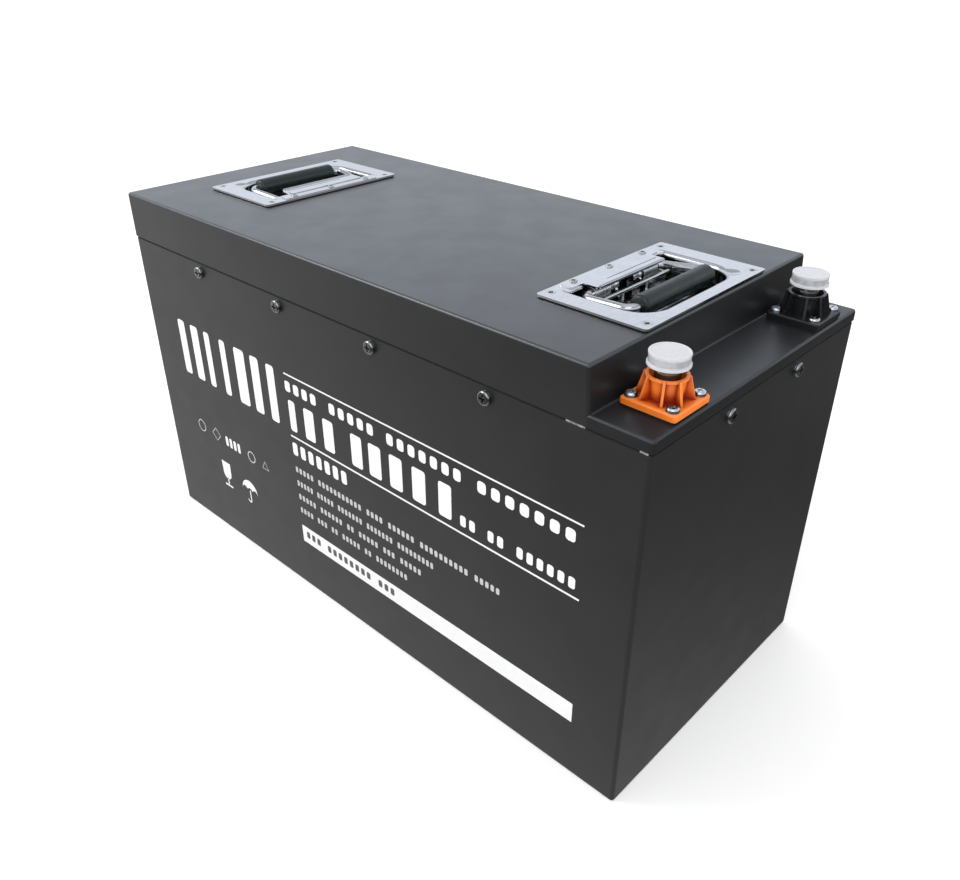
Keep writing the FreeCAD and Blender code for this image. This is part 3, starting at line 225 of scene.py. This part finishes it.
def powder_coat():
    """Black powder coat: fine grain, paler on upward edges as wear with a painted highlight, duller on the
    sheltered shelf.
    """
    look = Look("powder_coat")
    tint = look.blend(look.span(look.noise(70), 0, 1), *PAINT)
    _, _, facing_up = look.axes(look.add("ShaderNodeNewGeometry").outputs["Normal"])
    upward = look.span(facing_up, 0, 1, 0.05, 0.35)
    # Paler upward edges: partly wear, partly a painted highlight where light falls on the top edges
    worn_and_lit = look.maths("MULTIPLY", look.edge(1.6), look.span(look.noise(9, 4), 0.25, 0.75))
    worn_and_lit = look.maths("MULTIPLY", worn_and_lit, upward)
    look.set("Base Color", look.blend(worn_and_lit, tint, WORN_AND_LIT_PAINT))
    look.set("Roughness", look.span(look.noise(24, 3), 0.37, 0.43))
    look.set("Coat Roughness", 0.3)
    x, _, z = look.axes(look.place)
    shelf_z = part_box("terminal_base_positive")[0].z
    past_step = look.span(x, 0, 1, STEP_X, STEP_X + 1.5 * MM)
    on_shelf = look.span(z, 0, 1, shelf_z - 4 * MM, shelf_z - 2 * MM)
    sheltered = look.maths("MULTIPLY", past_step, on_shelf)
    for name, value in (("Specular IOR Level", PAINT_SHINE), ("Coat Weight", PAINT_COAT)):
        look.set(name, look.span(sheltered, value, value * SHELF_GLOSS, 0, 1))
    look.bump(look.noise(1.5, 1), 0.006)
    look.bump(look.noise(0.5, 2), 0.003)
    return look.material


def metal(name, colour, roughness, brush_mm=None, wave_mm=None, mirrored=None):
    """Bare or plated metal: drifting roughness, brushed scratches and gentle waviness.

    With mirrored, what it looks like in other surfaces is dimmed to that share.
    """
    look = Look(name, metallic=1.0)
    look.vary(colour, 0.07, 18)
    if mirrored:
        look.dim_in_mirrors(mirrored)
    stretch = (1, 14, 1) if brush_mm else (1, 1, 1)
    rough = look.span(look.noise(brush_mm or 3, 4, stretch), 0.75 * roughness, 1.35 * roughness)
    look.set("Roughness", rough)
    if brush_mm:
        look.bump(look.noise(brush_mm, 2, stretch), 0.004)
    if wave_mm:
        look.bump(look.noise(wave_mm, 1), 0.05)
    return look.material


PLATE_TONE = (0.61, 0.595, 0.60)
# Painted shade colour of the pan's inside
PAN_SHADE_TONE = (0.035, 0.042, 0.039)
PAN_DEPTHS = (4.2 * MM, 2.4 * MM)      # below the plate's top: all pan, all plate
PAN_ENDS_Y = (36 * MM, 46 * MM)        # the painted shade in the pan turns full towards its end walls


def pressed_plate():
    """Bright pressed handle plate; down in the pan it gets a patchy painted shade, full near the end walls."""
    look = Look("pressed_plate", metallic=1.0)
    _, y, z = look.axes(look.place)
    plate_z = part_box("handle_dish_right")[1].z
    # Painted shade down in the deep pan: patchy, and full near its end walls
    in_pan = look.span(z, 1, 0, *(plate_z - depth for depth in PAN_DEPTHS))
    by_wall = look.span(look.maths("ABSOLUTE", y), 0, 1, *PAN_ENDS_Y)
    patchy = look.maths("MAXIMUM", look.span(look.noise(9, 3), 0, 1, 0.40, 0.62), by_wall)
    shade = look.maths("MULTIPLY", in_pan, look.span(patchy, 0.3, 0.94, 0, 1))
    look.set("Base Color", look.blend(shade, PLATE_TONE, PAN_SHADE_TONE))
    look.set("Roughness", look.span(look.noise(0.5, 4, (1, 14, 1)), 0.12, 0.24))
    look.bump(look.noise(9, 1), 0.05)
    return look.material


def rubber(name, colour, roughness):
    look = Look(name)
    look.vary(colour, 0.25, 12)
    look.set("Roughness", look.span(look.noise(5, 3), roughness - 0.06, roughness + 0.08))
    look.bump(look.noise(0.45, 2), 0.012)
    return look.material


def plastic(name, colour, roughness, glow=0.0, crevice_shade=None):
    """Moulded plastic; glow is the share of light that spreads under the surface.

    With a crevice colour given, crevices take that colour as painted shade and edges are a little paler as a
    painted highlight.
    """
    look = Look(name)
    darker = tuple(channel * 0.92 for channel in colour)
    tint = look.blend(look.span(look.noise(10), 0, 1), darker, colour)
    if crevice_shade:
        # Painted highlight on edges, painted shade in crevices
        edge_highlight = tuple(0.8 * channel + 0.12 for channel in colour)
        tint = look.blend(look.maths("MULTIPLY", look.edge(0.6), 0.6), tint, edge_highlight)
        tint = look.blend(look.crevice(7), tint, crevice_shade)
    look.set("Base Color", tint)
    look.dim_in_mirrors(MIRRORED_SHARE)
    look.set("Roughness", look.span(look.noise(4, 3), roughness - 0.05, roughness + 0.06))
    look.bump(look.noise(0.8, 2), 0.006)
    if glow:
        look.set("Subsurface Weight", glow)
        look.set("Subsurface Radius", (1.0, 0.35, 0.15))
        look.set("Subsurface Scale", 1.0 * MM)
    return look.material


MILKY_FOOT = (1.0 * MM, 2.2 * MM)      # above the cap's lower edge: all foot, all waist
MILKY_RIM = (2.4 * MM, 1.2 * MM)       # below the cap's top: all waist, all rim


def milky_plastic():
    """Milky caps: the waist is painted darker, partly as shade under the rim and partly as the dark inside showing
    through the thin wall; the rims and top are not, and edges get a painted highlight.
    """
    look = Look("milky_plastic")
    _, _, z = look.axes(look.place)
    low, high = (corner.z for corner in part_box("terminal_cap_positive"))
    # Painted shade on the waist, patchy
    above_foot = look.span(z, 0, 1, *(low + height for height in MILKY_FOOT))
    below_rim = look.span(z, 1, 0, *(high - depth for depth in MILKY_RIM))
    waist = look.maths("MULTIPLY", above_foot, below_rim)
    patchy = look.maths("MULTIPLY", waist, look.span(look.noise(6, 1), 0.35, 1.0))
    tint = look.blend(patchy, (0.58, 0.585, 0.615), (0.36, 0.36, 0.38))
    # Painted highlight on the cap's edges
    look.set("Base Color", look.blend(look.edge(0.7), tint, (0.84, 0.84, 0.86)))
    look.set("Roughness", look.span(look.noise(8, 1), 0.2, 0.3))
    look.set("Subsurface Weight", 0.2)
    look.set("Subsurface Radius", (1.0, 1.0, 1.1))
    look.set("Subsurface Scale", 0.8 * MM)
    return look.material


# Along x, the two stretches by the terminal end where the joint shows bare metal
BARE_SEAMS = ((203.5 * MM, 217.5 * MM), (251.5 * MM, 257.5 * MM))


def seam_rubber():
    """Black gasket, with metal showing along the bare seams of the labelled face."""
    look = Look("seam_rubber")
    x, y, _ = look.axes(look.place)
    bare = 0.0
    for low, high in BARE_SEAMS:
        rise = look.span(x, 0, 1, low, low + 1 * MM)
        fall = look.span(x, 1, 0, high - 1 * MM, high)
        bare = look.maths("ADD", look.maths("MULTIPLY", rise, fall), bare)
    face_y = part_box("case_body")[0].y
    bare = look.maths("MULTIPLY", bare, look.span(y, 1, 0, face_y + 1 * MM, face_y + 2 * MM))
    bare = look.maths("MULTIPLY", bare, look.span(look.noise(2.5, 3), 0.35, 1))
    look.set("Base Color", look.blend(bare, (0.006, 0.006, 0.006), (0.36, 0.36, 0.34)))
    look.set("Roughness", look.span(look.noise(2), 0.55, 0.75))
    look.bump(look.noise(0.6, 2), 0.02)
    return look.material


def electrode_stack():
    """Wound foil edges, seen as fine layers."""
    look = Look("electrode_stack")
    layers = look.noise(0.6, 1, (1, 400, 400))
    tint = look.blend(look.span(layers, 0, 1), (0.03, 0.03, 0.035), (0.17, 0.15, 0.13))
    look.set("Base Color", tint)
    look.set("Roughness", look.span(look.noise(3), 0.5, 0.7))
    look.bump(layers, 0.05)
    return look.material


def label_ink(name, colour):
    """Screen-printed ink with slightly uneven cover."""
    look = Look(name)
    look.vary(colour, 0.03, 14)
    look.set("Roughness", look.span(look.noise(2, 3), 0.5, 0.6))
    look.bump(look.noise(0.5, 2), 0.004)
    return look.material


def centre_shaded_fastener(name, centres):
    """Plated fastener heads, each with a dull dark spot in its middle: painted shade for its hollow centre."""
    look = Look(name)
    # Painted shade: a dark, dull spot over each head's hollow centre
    dot = look.near_any(centres, 0.8, 1.8)
    bright = look.blend(look.span(look.noise(3), 0, 1), (0.42, 0.43, 0.40), (0.60, 0.61, 0.58))
    look.set("Base Color", look.blend(dot, bright, (0.04, 0.044, 0.04)))
    look.set("Metallic", look.maths("SUBTRACT", 1.0, dot))
    look.set("Specular IOR Level", 0.0)
    look.set("Roughness", look.span(look.noise(2), 0.16, 0.28))
    look.bump(look.noise(1.5), 0.02)
    return look.material


ORANGE = (1.0, 0.242, 0.024)
# Painted shade colour for the orange plastic's crevices
ORANGE_CREVICE_SHADE = (0.34, 0.02, 0.004)

# One finish for each material slot of the record
FINISHES = {
    "painted_steel": powder_coat(),
    "plain_steel": metal("galvanised_steel", (0.50, 0.51, 0.52), 0.34, wave_mm=9),
    "zinc_steel": metal("zinc_plate", (0.76, 0.77, 0.76), 0.17, wave_mm=3),
    "bright_plate": metal("bright_plate", PLATE_TONE, 0.16, brush_mm=0.5, wave_mm=9),
    "spring_steel": metal("spring_steel", (0.66, 0.67, 0.66), 0.2, brush_mm=0.4),
    "grip_rubber": rubber("grip_rubber", (0.010, 0.017, 0.015), 0.32),
    "black_rubber": rubber("black_rubber", (0.012, 0.012, 0.012), 0.62),
    "orange_plastic": plastic("orange_plastic", ORANGE, 0.34, 0.2, ORANGE_CREVICE_SHADE),
    "black_plastic": plastic("black_plastic", (0.012, 0.012, 0.013), 0.28),
    "white_plastic": milky_plastic(),
    "plated_brass": metal("plated_brass", (0.80, 0.77, 0.70), 0.12, brush_mm=0.3),
    "cell_aluminium": metal("drawn_aluminium", (0.72, 0.73, 0.75), 0.3, brush_mm=0.6),
    "electrode_stack": electrode_stack(),
    "busbar_copper": metal("copper", (0.86, 0.42, 0.26), 0.26, brush_mm=0.5),
    "board_fibre": plastic("board_fibre", (0.62, 0.55, 0.36), 0.5),
    "board_green": plastic("board_green", (0.02, 0.16, 0.06), 0.35),
    "grey_foam": rubber("grey_foam", (0.16, 0.16, 0.17), 0.85),
    "red_sleeve": plastic("red_sleeve", (0.5, 0.02, 0.015), 0.38),
}
RIVET_HEAD = 2.6 * MM          # radii of the heads on the handle plates
PLATE_SCREW_HEAD = 3.4 * MM


def refinish(node_names, material):
    """Give whole CAD nodes a finish."""
    for name in node_names:
        for material_slot in NODES[name].material_slots:
            material_slot.material = material


def plate_fastener_finishes():
    """Finish the rivets and screws of both handle plates, which lie mirrored in x and in y."""
    rivet_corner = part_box("handle_rivets")[1]
    screw_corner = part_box("handle_screws")[1]
    plate_low, plate_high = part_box("handle_dish_right")
    rivet_x, rivet_y = (rivet_corner.x - RIVET_HEAD, rivet_corner.y - RIVET_HEAD)
    screw_x, screw_y = (screw_corner.x - PLATE_SCREW_HEAD, screw_corner.y - PLATE_SCREW_HEAD)
    inner_screw_x = plate_low.x + plate_high.x - screw_x
    rivets = centre_shaded_fastener("handle_rivet", [(rivet_x, 0), (rivet_x, rivet_y)])
    screws = centre_shaded_fastener("handle_screw", [(screw_x, screw_y), (inner_screw_x, screw_y)])
    refinish(["handle_rivets"], rivets)
    refinish(["handle_screws"], screws)


for node_name, slot_name in SLOT_OF.items():
    refinish([node_name], FINISHES[slot_name])
refinish(["case_gasket"], seam_rubber())
refinish(["handle_dish_right", "handle_dish_left"], pressed_plate())
plate_fastener_finishes()
refinish(["lid_screws"], metal("dark_zinc", (0.36, 0.37, 0.35), 0.13, wave_mm=1.5,
                               mirrored=MIRRORED_SHARE))


# --------------------------------------------------------------------------------- mesh helpers

CORNER_STEPS = 4               # straight pieces in a quarter turn of a bar's corner
WIRE_SIDES = 10


def finished(name, work, material, smooth=False):
    """Turn a bmesh into an object with one material."""
    bmesh.ops.recalc_face_normals(work, faces=work.faces)
    mesh = bpy.data.meshes.new(name)
    work.to_mesh(mesh)
    work.free()
    if smooth:
        mesh.polygons.foreach_set("use_smooth", [True] * len(mesh.polygons))
    mesh.materials.append(material)
    piece = bpy.data.objects.new(name, mesh)
    bpy.context.scene.collection.objects.link(piece)
    return piece


def prism(work, outline, low_y, high_y):
    """Add a closed prism: an outline of (x, z) points in millimetres between two depths in y."""
    rings = [
        [work.verts.new(Vector((x, y, z)) * MM) for x, z in outline] for y in (low_y, high_y)
    ]
    work.faces.new(rings[0])
    work.faces.new(reversed(rings[1]))
    count = len(outline)
    for index in range(count):
        after = (index + 1) % count
        work.faces.new((rings[0][index], rings[0][after], rings[1][after], rings[1][index]))


def arc(centre_x, centre_z, radius, first_deg, last_deg, steps):
    """Points on a circle from one angle to the other, both included."""
    points = []
    for step in range(steps + 1):
        turn = math.radians(first_deg + (last_deg - first_deg) * step / steps)
        points.append((centre_x + radius * math.cos(turn), centre_z + radius * math.sin(turn)))
    return points


def rounded_bar(low_x, low_z, high_x, high_z, radius):
    """Outline of a rectangle with rounded corners."""
    left, right = low_x + radius, high_x - radius
    bottom, top = low_z + radius, high_z - radius
    corners = ((right, bottom, -90), (right, top, 0), (left, top, 90), (left, bottom, 180))
    outline = []
    for x, z, first_deg in corners:
        outline += arc(x, z, radius, first_deg, first_deg + 90, CORNER_STEPS)
    return outline


def tube(work, path, radius):
    """Add a closed round tube along a path of points in metres."""
    rings = []
    normal = None
    for index, point in enumerate(path):
        ahead = path[min(index + 1, len(path) - 1)] - path[max(index - 1, 0)]
        ahead.normalize()
        if normal is None:
            normal = ahead.orthogonal().normalized()
        normal = (normal - ahead * normal.dot(ahead)).normalized()
        other = ahead.cross(normal)
        ring = []
        for side in range(WIRE_SIDES):
            turn = 2 * math.pi * side / WIRE_SIDES
            offset = normal * math.cos(turn) + other * math.sin(turn)
            ring.append(work.verts.new(point + offset * radius))
        rings.append(ring)
    for first, second in zip(rings, rings[1:]):
        for side in range(WIRE_SIDES):
            after = (side + 1) % WIRE_SIDES
            work.faces.new((first[side], first[after], second[after], second[side]))
    work.faces.new(reversed(rings[0]))
    work.faces.new(rings[-1])


# ----------------------------------------------------------------------------- printed face art
# Generic marks in place of all lettering. Lengths in this section are millimetres.

FACE_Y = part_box("case_body")[0].y / MM
INK_BACK = 0.02                # the ink starts this far inside the paint's surface
INK_FRONT = 0.10               # and stands this far proud of it
WHITE_INK = label_ink("white_ink", (0.80, 0.80, 0.81))
PALE_INK = label_ink("pale_ink", (0.50, 0.50, 0.50))
DARK_INK = label_ink("dark_ink", (0.10, 0.10, 0.10))

LABEL_X = (-62.5, 221.5)       # both ends of the rules
MARK_WIDTH = 0.62              # of a plain mark, as a share of the marks' pitch
MARK_CORNER = 0.2
HAIRLINE_DEG = 0.6             # half the gap that keeps a ring one outline


def printed(name, outlines, ink, lift=0.0):
    """One printed group on the labelled face; lift raises it over ink that is there already."""
    work = bmesh.new()
    for outline in outlines:
        prism(work, outline, FACE_Y - INK_FRONT - lift, FACE_Y + INK_BACK)
    piece = finished(name, work, ink)
    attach(piece, "root")


def upright_bars(centres, widths, low_z, high_z, radius):
    return [
        rounded_bar(x - width / 2, low_z, x + width / 2, high_z, radius)
        for x, width in zip(centres, widths)
    ]


def plain_marks(low_x, high_x, low_z, high_z, words):
    """A line of plain marks grouped like words; words gives the number of marks in each."""
    places = sum(words) + len(words) - 1
    pitch = (high_x - low_x) / places
    outlines = []
    place = 0
    for count in words:
        for _ in range(count):
            x = low_x + pitch * place
            outlines.append(
                rounded_bar(x, low_z, x + MARK_WIDTH * pitch, high_z, MARK_CORNER * pitch))
            place += 1
        place += 1
    return outlines


def ring(centre_x, centre_z, radius, width, sides):
    """An almost closed band with a number of sides; many sides make it look round."""
    first, last = 90 + HAIRLINE_DEG, 450 - HAIRLINE_DEG
    outer = arc(centre_x, centre_z, radius, first, last, sides)
    inner = arc(centre_x, centre_z, radius - width, last, first, sides)
    return outer + inner


def goblet(x, z):
    """Handling symbol of a stemmed glass; x, z is the middle of its foot's underside."""
    bowl = [(x - 6.5, z + 26), (x + 6.5, z + 26)] + arc(x, z + 14, 6.0, 0, -180, 12)
    stem = rounded_bar(x - 0.8, z + 1.5, x + 0.8, z + 9, 0.3)
    foot = rounded_bar(x - 6.0, z, x + 6.0, z + 1.8, 0.6)
    return [bowl, stem, foot]


def umbrella(x, z):
    """Handling symbol of an open umbrella; x, z is where its shaft ends and its hook starts."""
    canopy = arc(x, z + 10, 11.5, 0, 180, 24)
    for scallop in range(3):
        canopy += arc(x - 7.67 + 7.67 * scallop, z + 10, 3.8, 180, 0, 6)[1:-1]
    shaft = rounded_bar(x - 0.7, z + 0.5, x + 0.7, z + 11, 0.3)
    hook = arc(x - 2.2, z + 0.6, 2.9, 0, -180, 10) + arc(x - 2.2, z + 0.6, 1.5, -180, 0, 10)
    return [canopy, shaft, hook]


BIG_BARS_X = (-209, -189, -170, -147, -123, -102, -81)
BIG_BARS_WIDTH = (10, 11, 8, 8, 14, 11, 10)
BIG_BARS_Z = (154.5, 204.5)
printed("label_big_bars", upright_bars(BIG_BARS_X, BIG_BARS_WIDTH, *BIG_BARS_Z, 2.5), WHITE_INK)

RULES_Z = ((203.2, 204.4), (148.9, 150.3))
printed("label_rules",
        [rounded_bar(LABEL_X[0], low_z, LABEL_X[1], high_z, 0.3) for low_z, high_z in RULES_Z],
        WHITE_INK)

CAPTION_Z = (189.0, 198.0)
CAPTION_WORDS = ((-62.5, -21.0, 4), (-9.5, 43.0, 5), (53.0, 128.0, 7), (138.5, 220.5, 7))
caption_marks = []
for low_x, high_x, marks in CAPTION_WORDS:
    caption_marks += plain_marks(low_x, high_x, *CAPTION_Z, [marks])
printed("label_caption_marks", caption_marks, WHITE_INK)

RATING_X = (-57, -36, -13, 19, 39, 61, 84, 109)
RATING_WIDTH = (8, 12, 12, 12, 13, 13, 13, 12)
RATING_Z = (155.0, 182.0)
printed("label_rating_bars", upright_bars(RATING_X, RATING_WIDTH, *RATING_Z, 2.2), WHITE_INK)

printed("label_side_marks", plain_marks(123.0, 221.0, 155.5, 164.0, [2, 2, 6]), WHITE_INK)
printed("label_heading_marks", plain_marks(-62.0, 8.0, 132.5, 144.0, [7]), WHITE_INK)

TEXT_START_X = -61.5
TEXT_HEIGHT = 5.2
# Where each line of text ends, its height above the ground, the marks in its words
TEXT_LINES = (
    (160.0, 116.3, (5, 11, 4, 6, 10, 5)),
    (97.0, 103.2, (5, 5, 7, 7, 9)),
    (84.0, 90.1, (5, 6, 2, 5, 3, 5)),
    (68.5, 77.0, (4, 3, 2, 5, 2, 8)),
)
text_marks = []
for end_x, low_z, words in TEXT_LINES:
    text_marks += plain_marks(TEXT_START_X, end_x, low_z, low_z + TEXT_HEIGHT, words)
printed("label_text_marks", text_marks, PALE_INK)

STRIPE_X = (-62.5, 222.5)
STRIPE_Z = (47.3, 63.7)
printed("label_stripe",
        [rounded_bar(STRIPE_X[0], STRIPE_Z[0], STRIPE_X[1], STRIPE_Z[1], 0.4)], WHITE_INK)
printed("label_stripe_marks", plain_marks(-57.0, 54.0, 53.0, 59.5, (3, 8, 3)), DARK_INK, 0.04)

# Centre, radius, width of the band, number of sides
SMALL_RINGS = (
    (-204.0, 103.5, 6.0, 0.9, 24), (-180.5, 103.5, 6.6, 0.9, 4),
    (-127.0, 102.0, 5.6, 1.1, 24), (-107.0, 101.0, 5.4, 1.0, 3),
)
printed("label_small_marks", [ring(*values) for values in SMALL_RINGS], PALE_INK)
printed("label_block_mark", plain_marks(-166.0, -141.5, 98.0, 107.5, [4]), WHITE_INK)
printed("label_glass_symbol", goblet(-173.0, 51.5), WHITE_INK)
printed("label_umbrella_symbol", umbrella(-138.0, 51.5), WHITE_INK)


# ------------------------------------------------------------------------------ handle springs

WIRE = 0.7 * MM                # radius of the wire
COIL_LENGTH = 16.2 * MM
COIL_TURNS = 10
COIL_STEPS = 24                # points in a turn
LEG = 10.4 * MM                # from the axle to the leg's end, under the rest rod
LEG_RISE = 1.0 * MM
INNER_END = 0.35               # the other end bends in this share of the way to the axle


def spring(name, node, joint, side_y, towards_grip):
    """Torsion spring: one leg bears on the rest rod and the other end bends in towards the axle."""
    low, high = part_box(node)
    axle = HINGES[joint]
    coil = (high.z - low.z) / 2 - WIRE
    outer = side_y * (high.y - WIRE)
    inner = outer - side_y * COIL_LENGTH
    path = []
    for share in (1.0, 0.75, 0.5, 0.25):
        path.append(Vector((axle.x + towards_grip * LEG * share, inner,
                            axle.z - coil + LEG_RISE * share)))
    steps = COIL_TURNS * COIL_STEPS
    for step in range(steps + 1):
        turn = math.radians(-90) - towards_grip * 2 * math.pi * step / COIL_STEPS
        path.append(Vector((axle.x + coil * math.cos(turn),
                            inner + (outer - inner) * step / steps,
                            axle.z + coil * math.sin(turn))))
    last = path[-1]
    path.append(last.lerp(Vector((axle.x, last.y, axle.z)), INNER_END))
    work = bmesh.new()
    tube(work, path, WIRE)
    piece = finished(name, work, FINISHES["spring_steel"], smooth=True)
    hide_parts(node)
    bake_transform(piece)


for hand, towards_grip in (("right", 1), ("left", -1)):
    for place, side_y in (("front", -1), ("rear", 1)):
        spring(f"handle_spring_{hand}_{place}", f"handle_springs_{hand}",
               f"handle_{hand}_swing", side_y, towards_grip)


# --------------------------------------------------------------------- floor, light and camera

FLOOR_RADIUS = 40.0
FLOOR_GLOW = 0.2               # keeps the shadow round the base faint


def floor():
    """Wide pale floor: a gently uneven disc that reflections don't show."""
    look = Look("pale_floor")
    patchy = look.span(look.noise(900), 0, 1)
    look.set("Base Color", look.blend(patchy, (0.92, 0.92, 0.92), (0.94, 0.94, 0.94)))
    look.set("Roughness", 0.9)
    look.set("Specular IOR Level", 0.1)
    look.set("Emission Color", (1.0, 1.0, 1.0, 1.0))
    look.set("Emission Strength", FLOOR_GLOW)
    work = bmesh.new()
    bmesh.ops.create_circle(work, cap_ends=True, segments=96, radius=FLOOR_RADIUS)
    piece = finished("floor", work, look.material)
    piece.visible_glossy = False


# What surfaces reflect: height of the direction, brightness towards -X, brightness towards +X
SKY = (
    (-1.0, 0.85, 0.42), (-0.78, 0.80, 0.33), (-0.65, 0.62, 0.16), (-0.5, 0.55, 0.04),
    (-0.4, 0.50, 0.14), (-0.33, 0.60, 0.04), (-0.05, 0.60, 0.08), (0.12, 0.85, 0.60),
    (0.25, 1.12, 0.98), (0.32, 1.25, 1.22), (0.38, 1.22, 1.28), (0.44, 0.96, 0.93),
    (0.52, 0.70, 0.62), (0.65, 0.50, 0.48), (1.0, 0.95, 0.95),
)
SKY_SIDES = (-0.87, 0.30)      # x of the direction where the two brightnesses hold
SKY_FALL = 0.6                 # power on the way from one to the other
SKY_TINT = (0.865, 0.945, 1.055)
LOW_TINT = (1.0, 1.0, 0.995)
# Below the horizon on the labelled side: y of the direction, brightness
FRONT = (
    (-1.0, 0.03), (-0.72, 0.03), (-0.66, 0.12), (-0.6, 0.27), (-0.52, 0.42), (-0.46, 0.46),
    (-0.4, 0.62), (-0.3, 0.66), (1.0, 0.66),
)
FRONT_EDGE_Y = (-0.15, -0.33)  # the labelled side's brightness takes over between these
FRONT_EDGE_Z = (0.05, -0.12)
FRONT_EDGE_X = (0.1, -0.25)
ROOM = 1.02                    # even light on matt surfaces
PEAK = max(max(row[1:]) for row in SKY)


def sky_ramp(world, place, rows, column):
    """Colour along one direction component, scaled from -1..1, from one column of a table."""
    ramp = world.add("ShaderNodeValToRGB")
    world.feed(ramp.inputs["Fac"], place)
    stops = ramp.color_ramp.elements
    for row in rows:
        at = row[0]
        stop = stops[0] if at == -1 else stops[-1] if at == 1 else stops.new((at + 1) / 2)
        level = row[column] / PEAK
        tint = SKY_TINT if at > 0 and rows is SKY else LOW_TINT
        stop.color = (*(level * channel for channel in tint), 1.0)
    return ramp.outputs["Color"]


def studio():
    """World light: a shaped sky in reflections, even white for everything else."""
    background_world = bpy.data.worlds.new("studio")
    background_world.use_nodes = True
    world = Shading(background_world.node_tree)
    x, y, z = world.axes(world.add("ShaderNodeTexCoord").outputs["Generated"])
    height = world.ranged(z, -1, 1)
    side = world.maths("POWER", world.ranged(x, *SKY_SIDES), SKY_FALL)
    sky = world.blend(side, sky_ramp(world, height, SKY, 1), sky_ramp(world, height, SKY, 2))
    front = world.ranged(y, *FRONT_EDGE_Y)
    front = world.maths("MULTIPLY", front, world.ranged(z, *FRONT_EDGE_Z))
    front = world.maths("MULTIPLY", front, world.ranged(x, *FRONT_EDGE_X))
    sky = world.blend(front, sky, sky_ramp(world, world.ranged(y, -1, 1), FRONT, 1))
    mirrored = world.add("ShaderNodeLightPath").outputs["Is Glossy Ray"]
    background = world.tree.nodes["Background"]
    world.feed(background.inputs["Color"], world.blend(mirrored, [ROOM / PEAK] * 3, sky))
    background.inputs["Strength"].default_value = PEAK
    bpy.context.scene.world = background_world


LIGHTS_AIM = Vector((0, 0, 0.15))


def softbox(name, direction, distance, size, power):
    """Square area light that looks at the object from a direction."""
    data = bpy.data.lights.new(name, "AREA")
    data.size = size
    data.energy = power
    lamp = bpy.data.objects.new(name, data)
    lamp.location = LIGHTS_AIM + Vector(direction).normalized() * distance
    lamp.rotation_euler = (LIGHTS_AIM - lamp.location).to_track_quat("-Z", "Y").to_euler()
    bpy.context.scene.collection.objects.link(lamp)


CAMERA_PLACE = (0.4567, -0.4543, 0.4995)
CAMERA_AZIMUTH = math.radians(43.34)
CAMERA_ELEVATION = math.radians(-30.57)
CAMERA_LENS = 33.27            # millimetres, behind a 36 mm wide sensor


def camera():
    """Three-quarter view from above the terminal corner of the labelled face."""
    data = bpy.data.cameras.new("camera")
    data.sensor_width = 36.0
    data.lens = CAMERA_LENS
    data.clip_start = 0.01
    data.clip_end = 200.0
    made = bpy.data.objects.new("camera", data)
    level = math.cos(CAMERA_ELEVATION)
    ahead = Vector((-math.sin(CAMERA_AZIMUTH) * level, math.cos(CAMERA_AZIMUTH) * level,
                    math.sin(CAMERA_ELEVATION)))
    made.location = CAMERA_PLACE
    made.rotation_euler = ahead.to_track_quat("-Z", "Y").to_euler()
    bpy.context.scene.collection.objects.link(made)
    bpy.context.scene.camera = made


floor()
studio()
softbox("key", (-0.59, -0.51, 0.63), 1.6, 0.7, 8.0)
softbox("fill", (0.5, -0.7, 0.9), 2.0, 1.2, 5.0)
camera()
bpy.context.scene.view_settings.view_transform = "Standard"
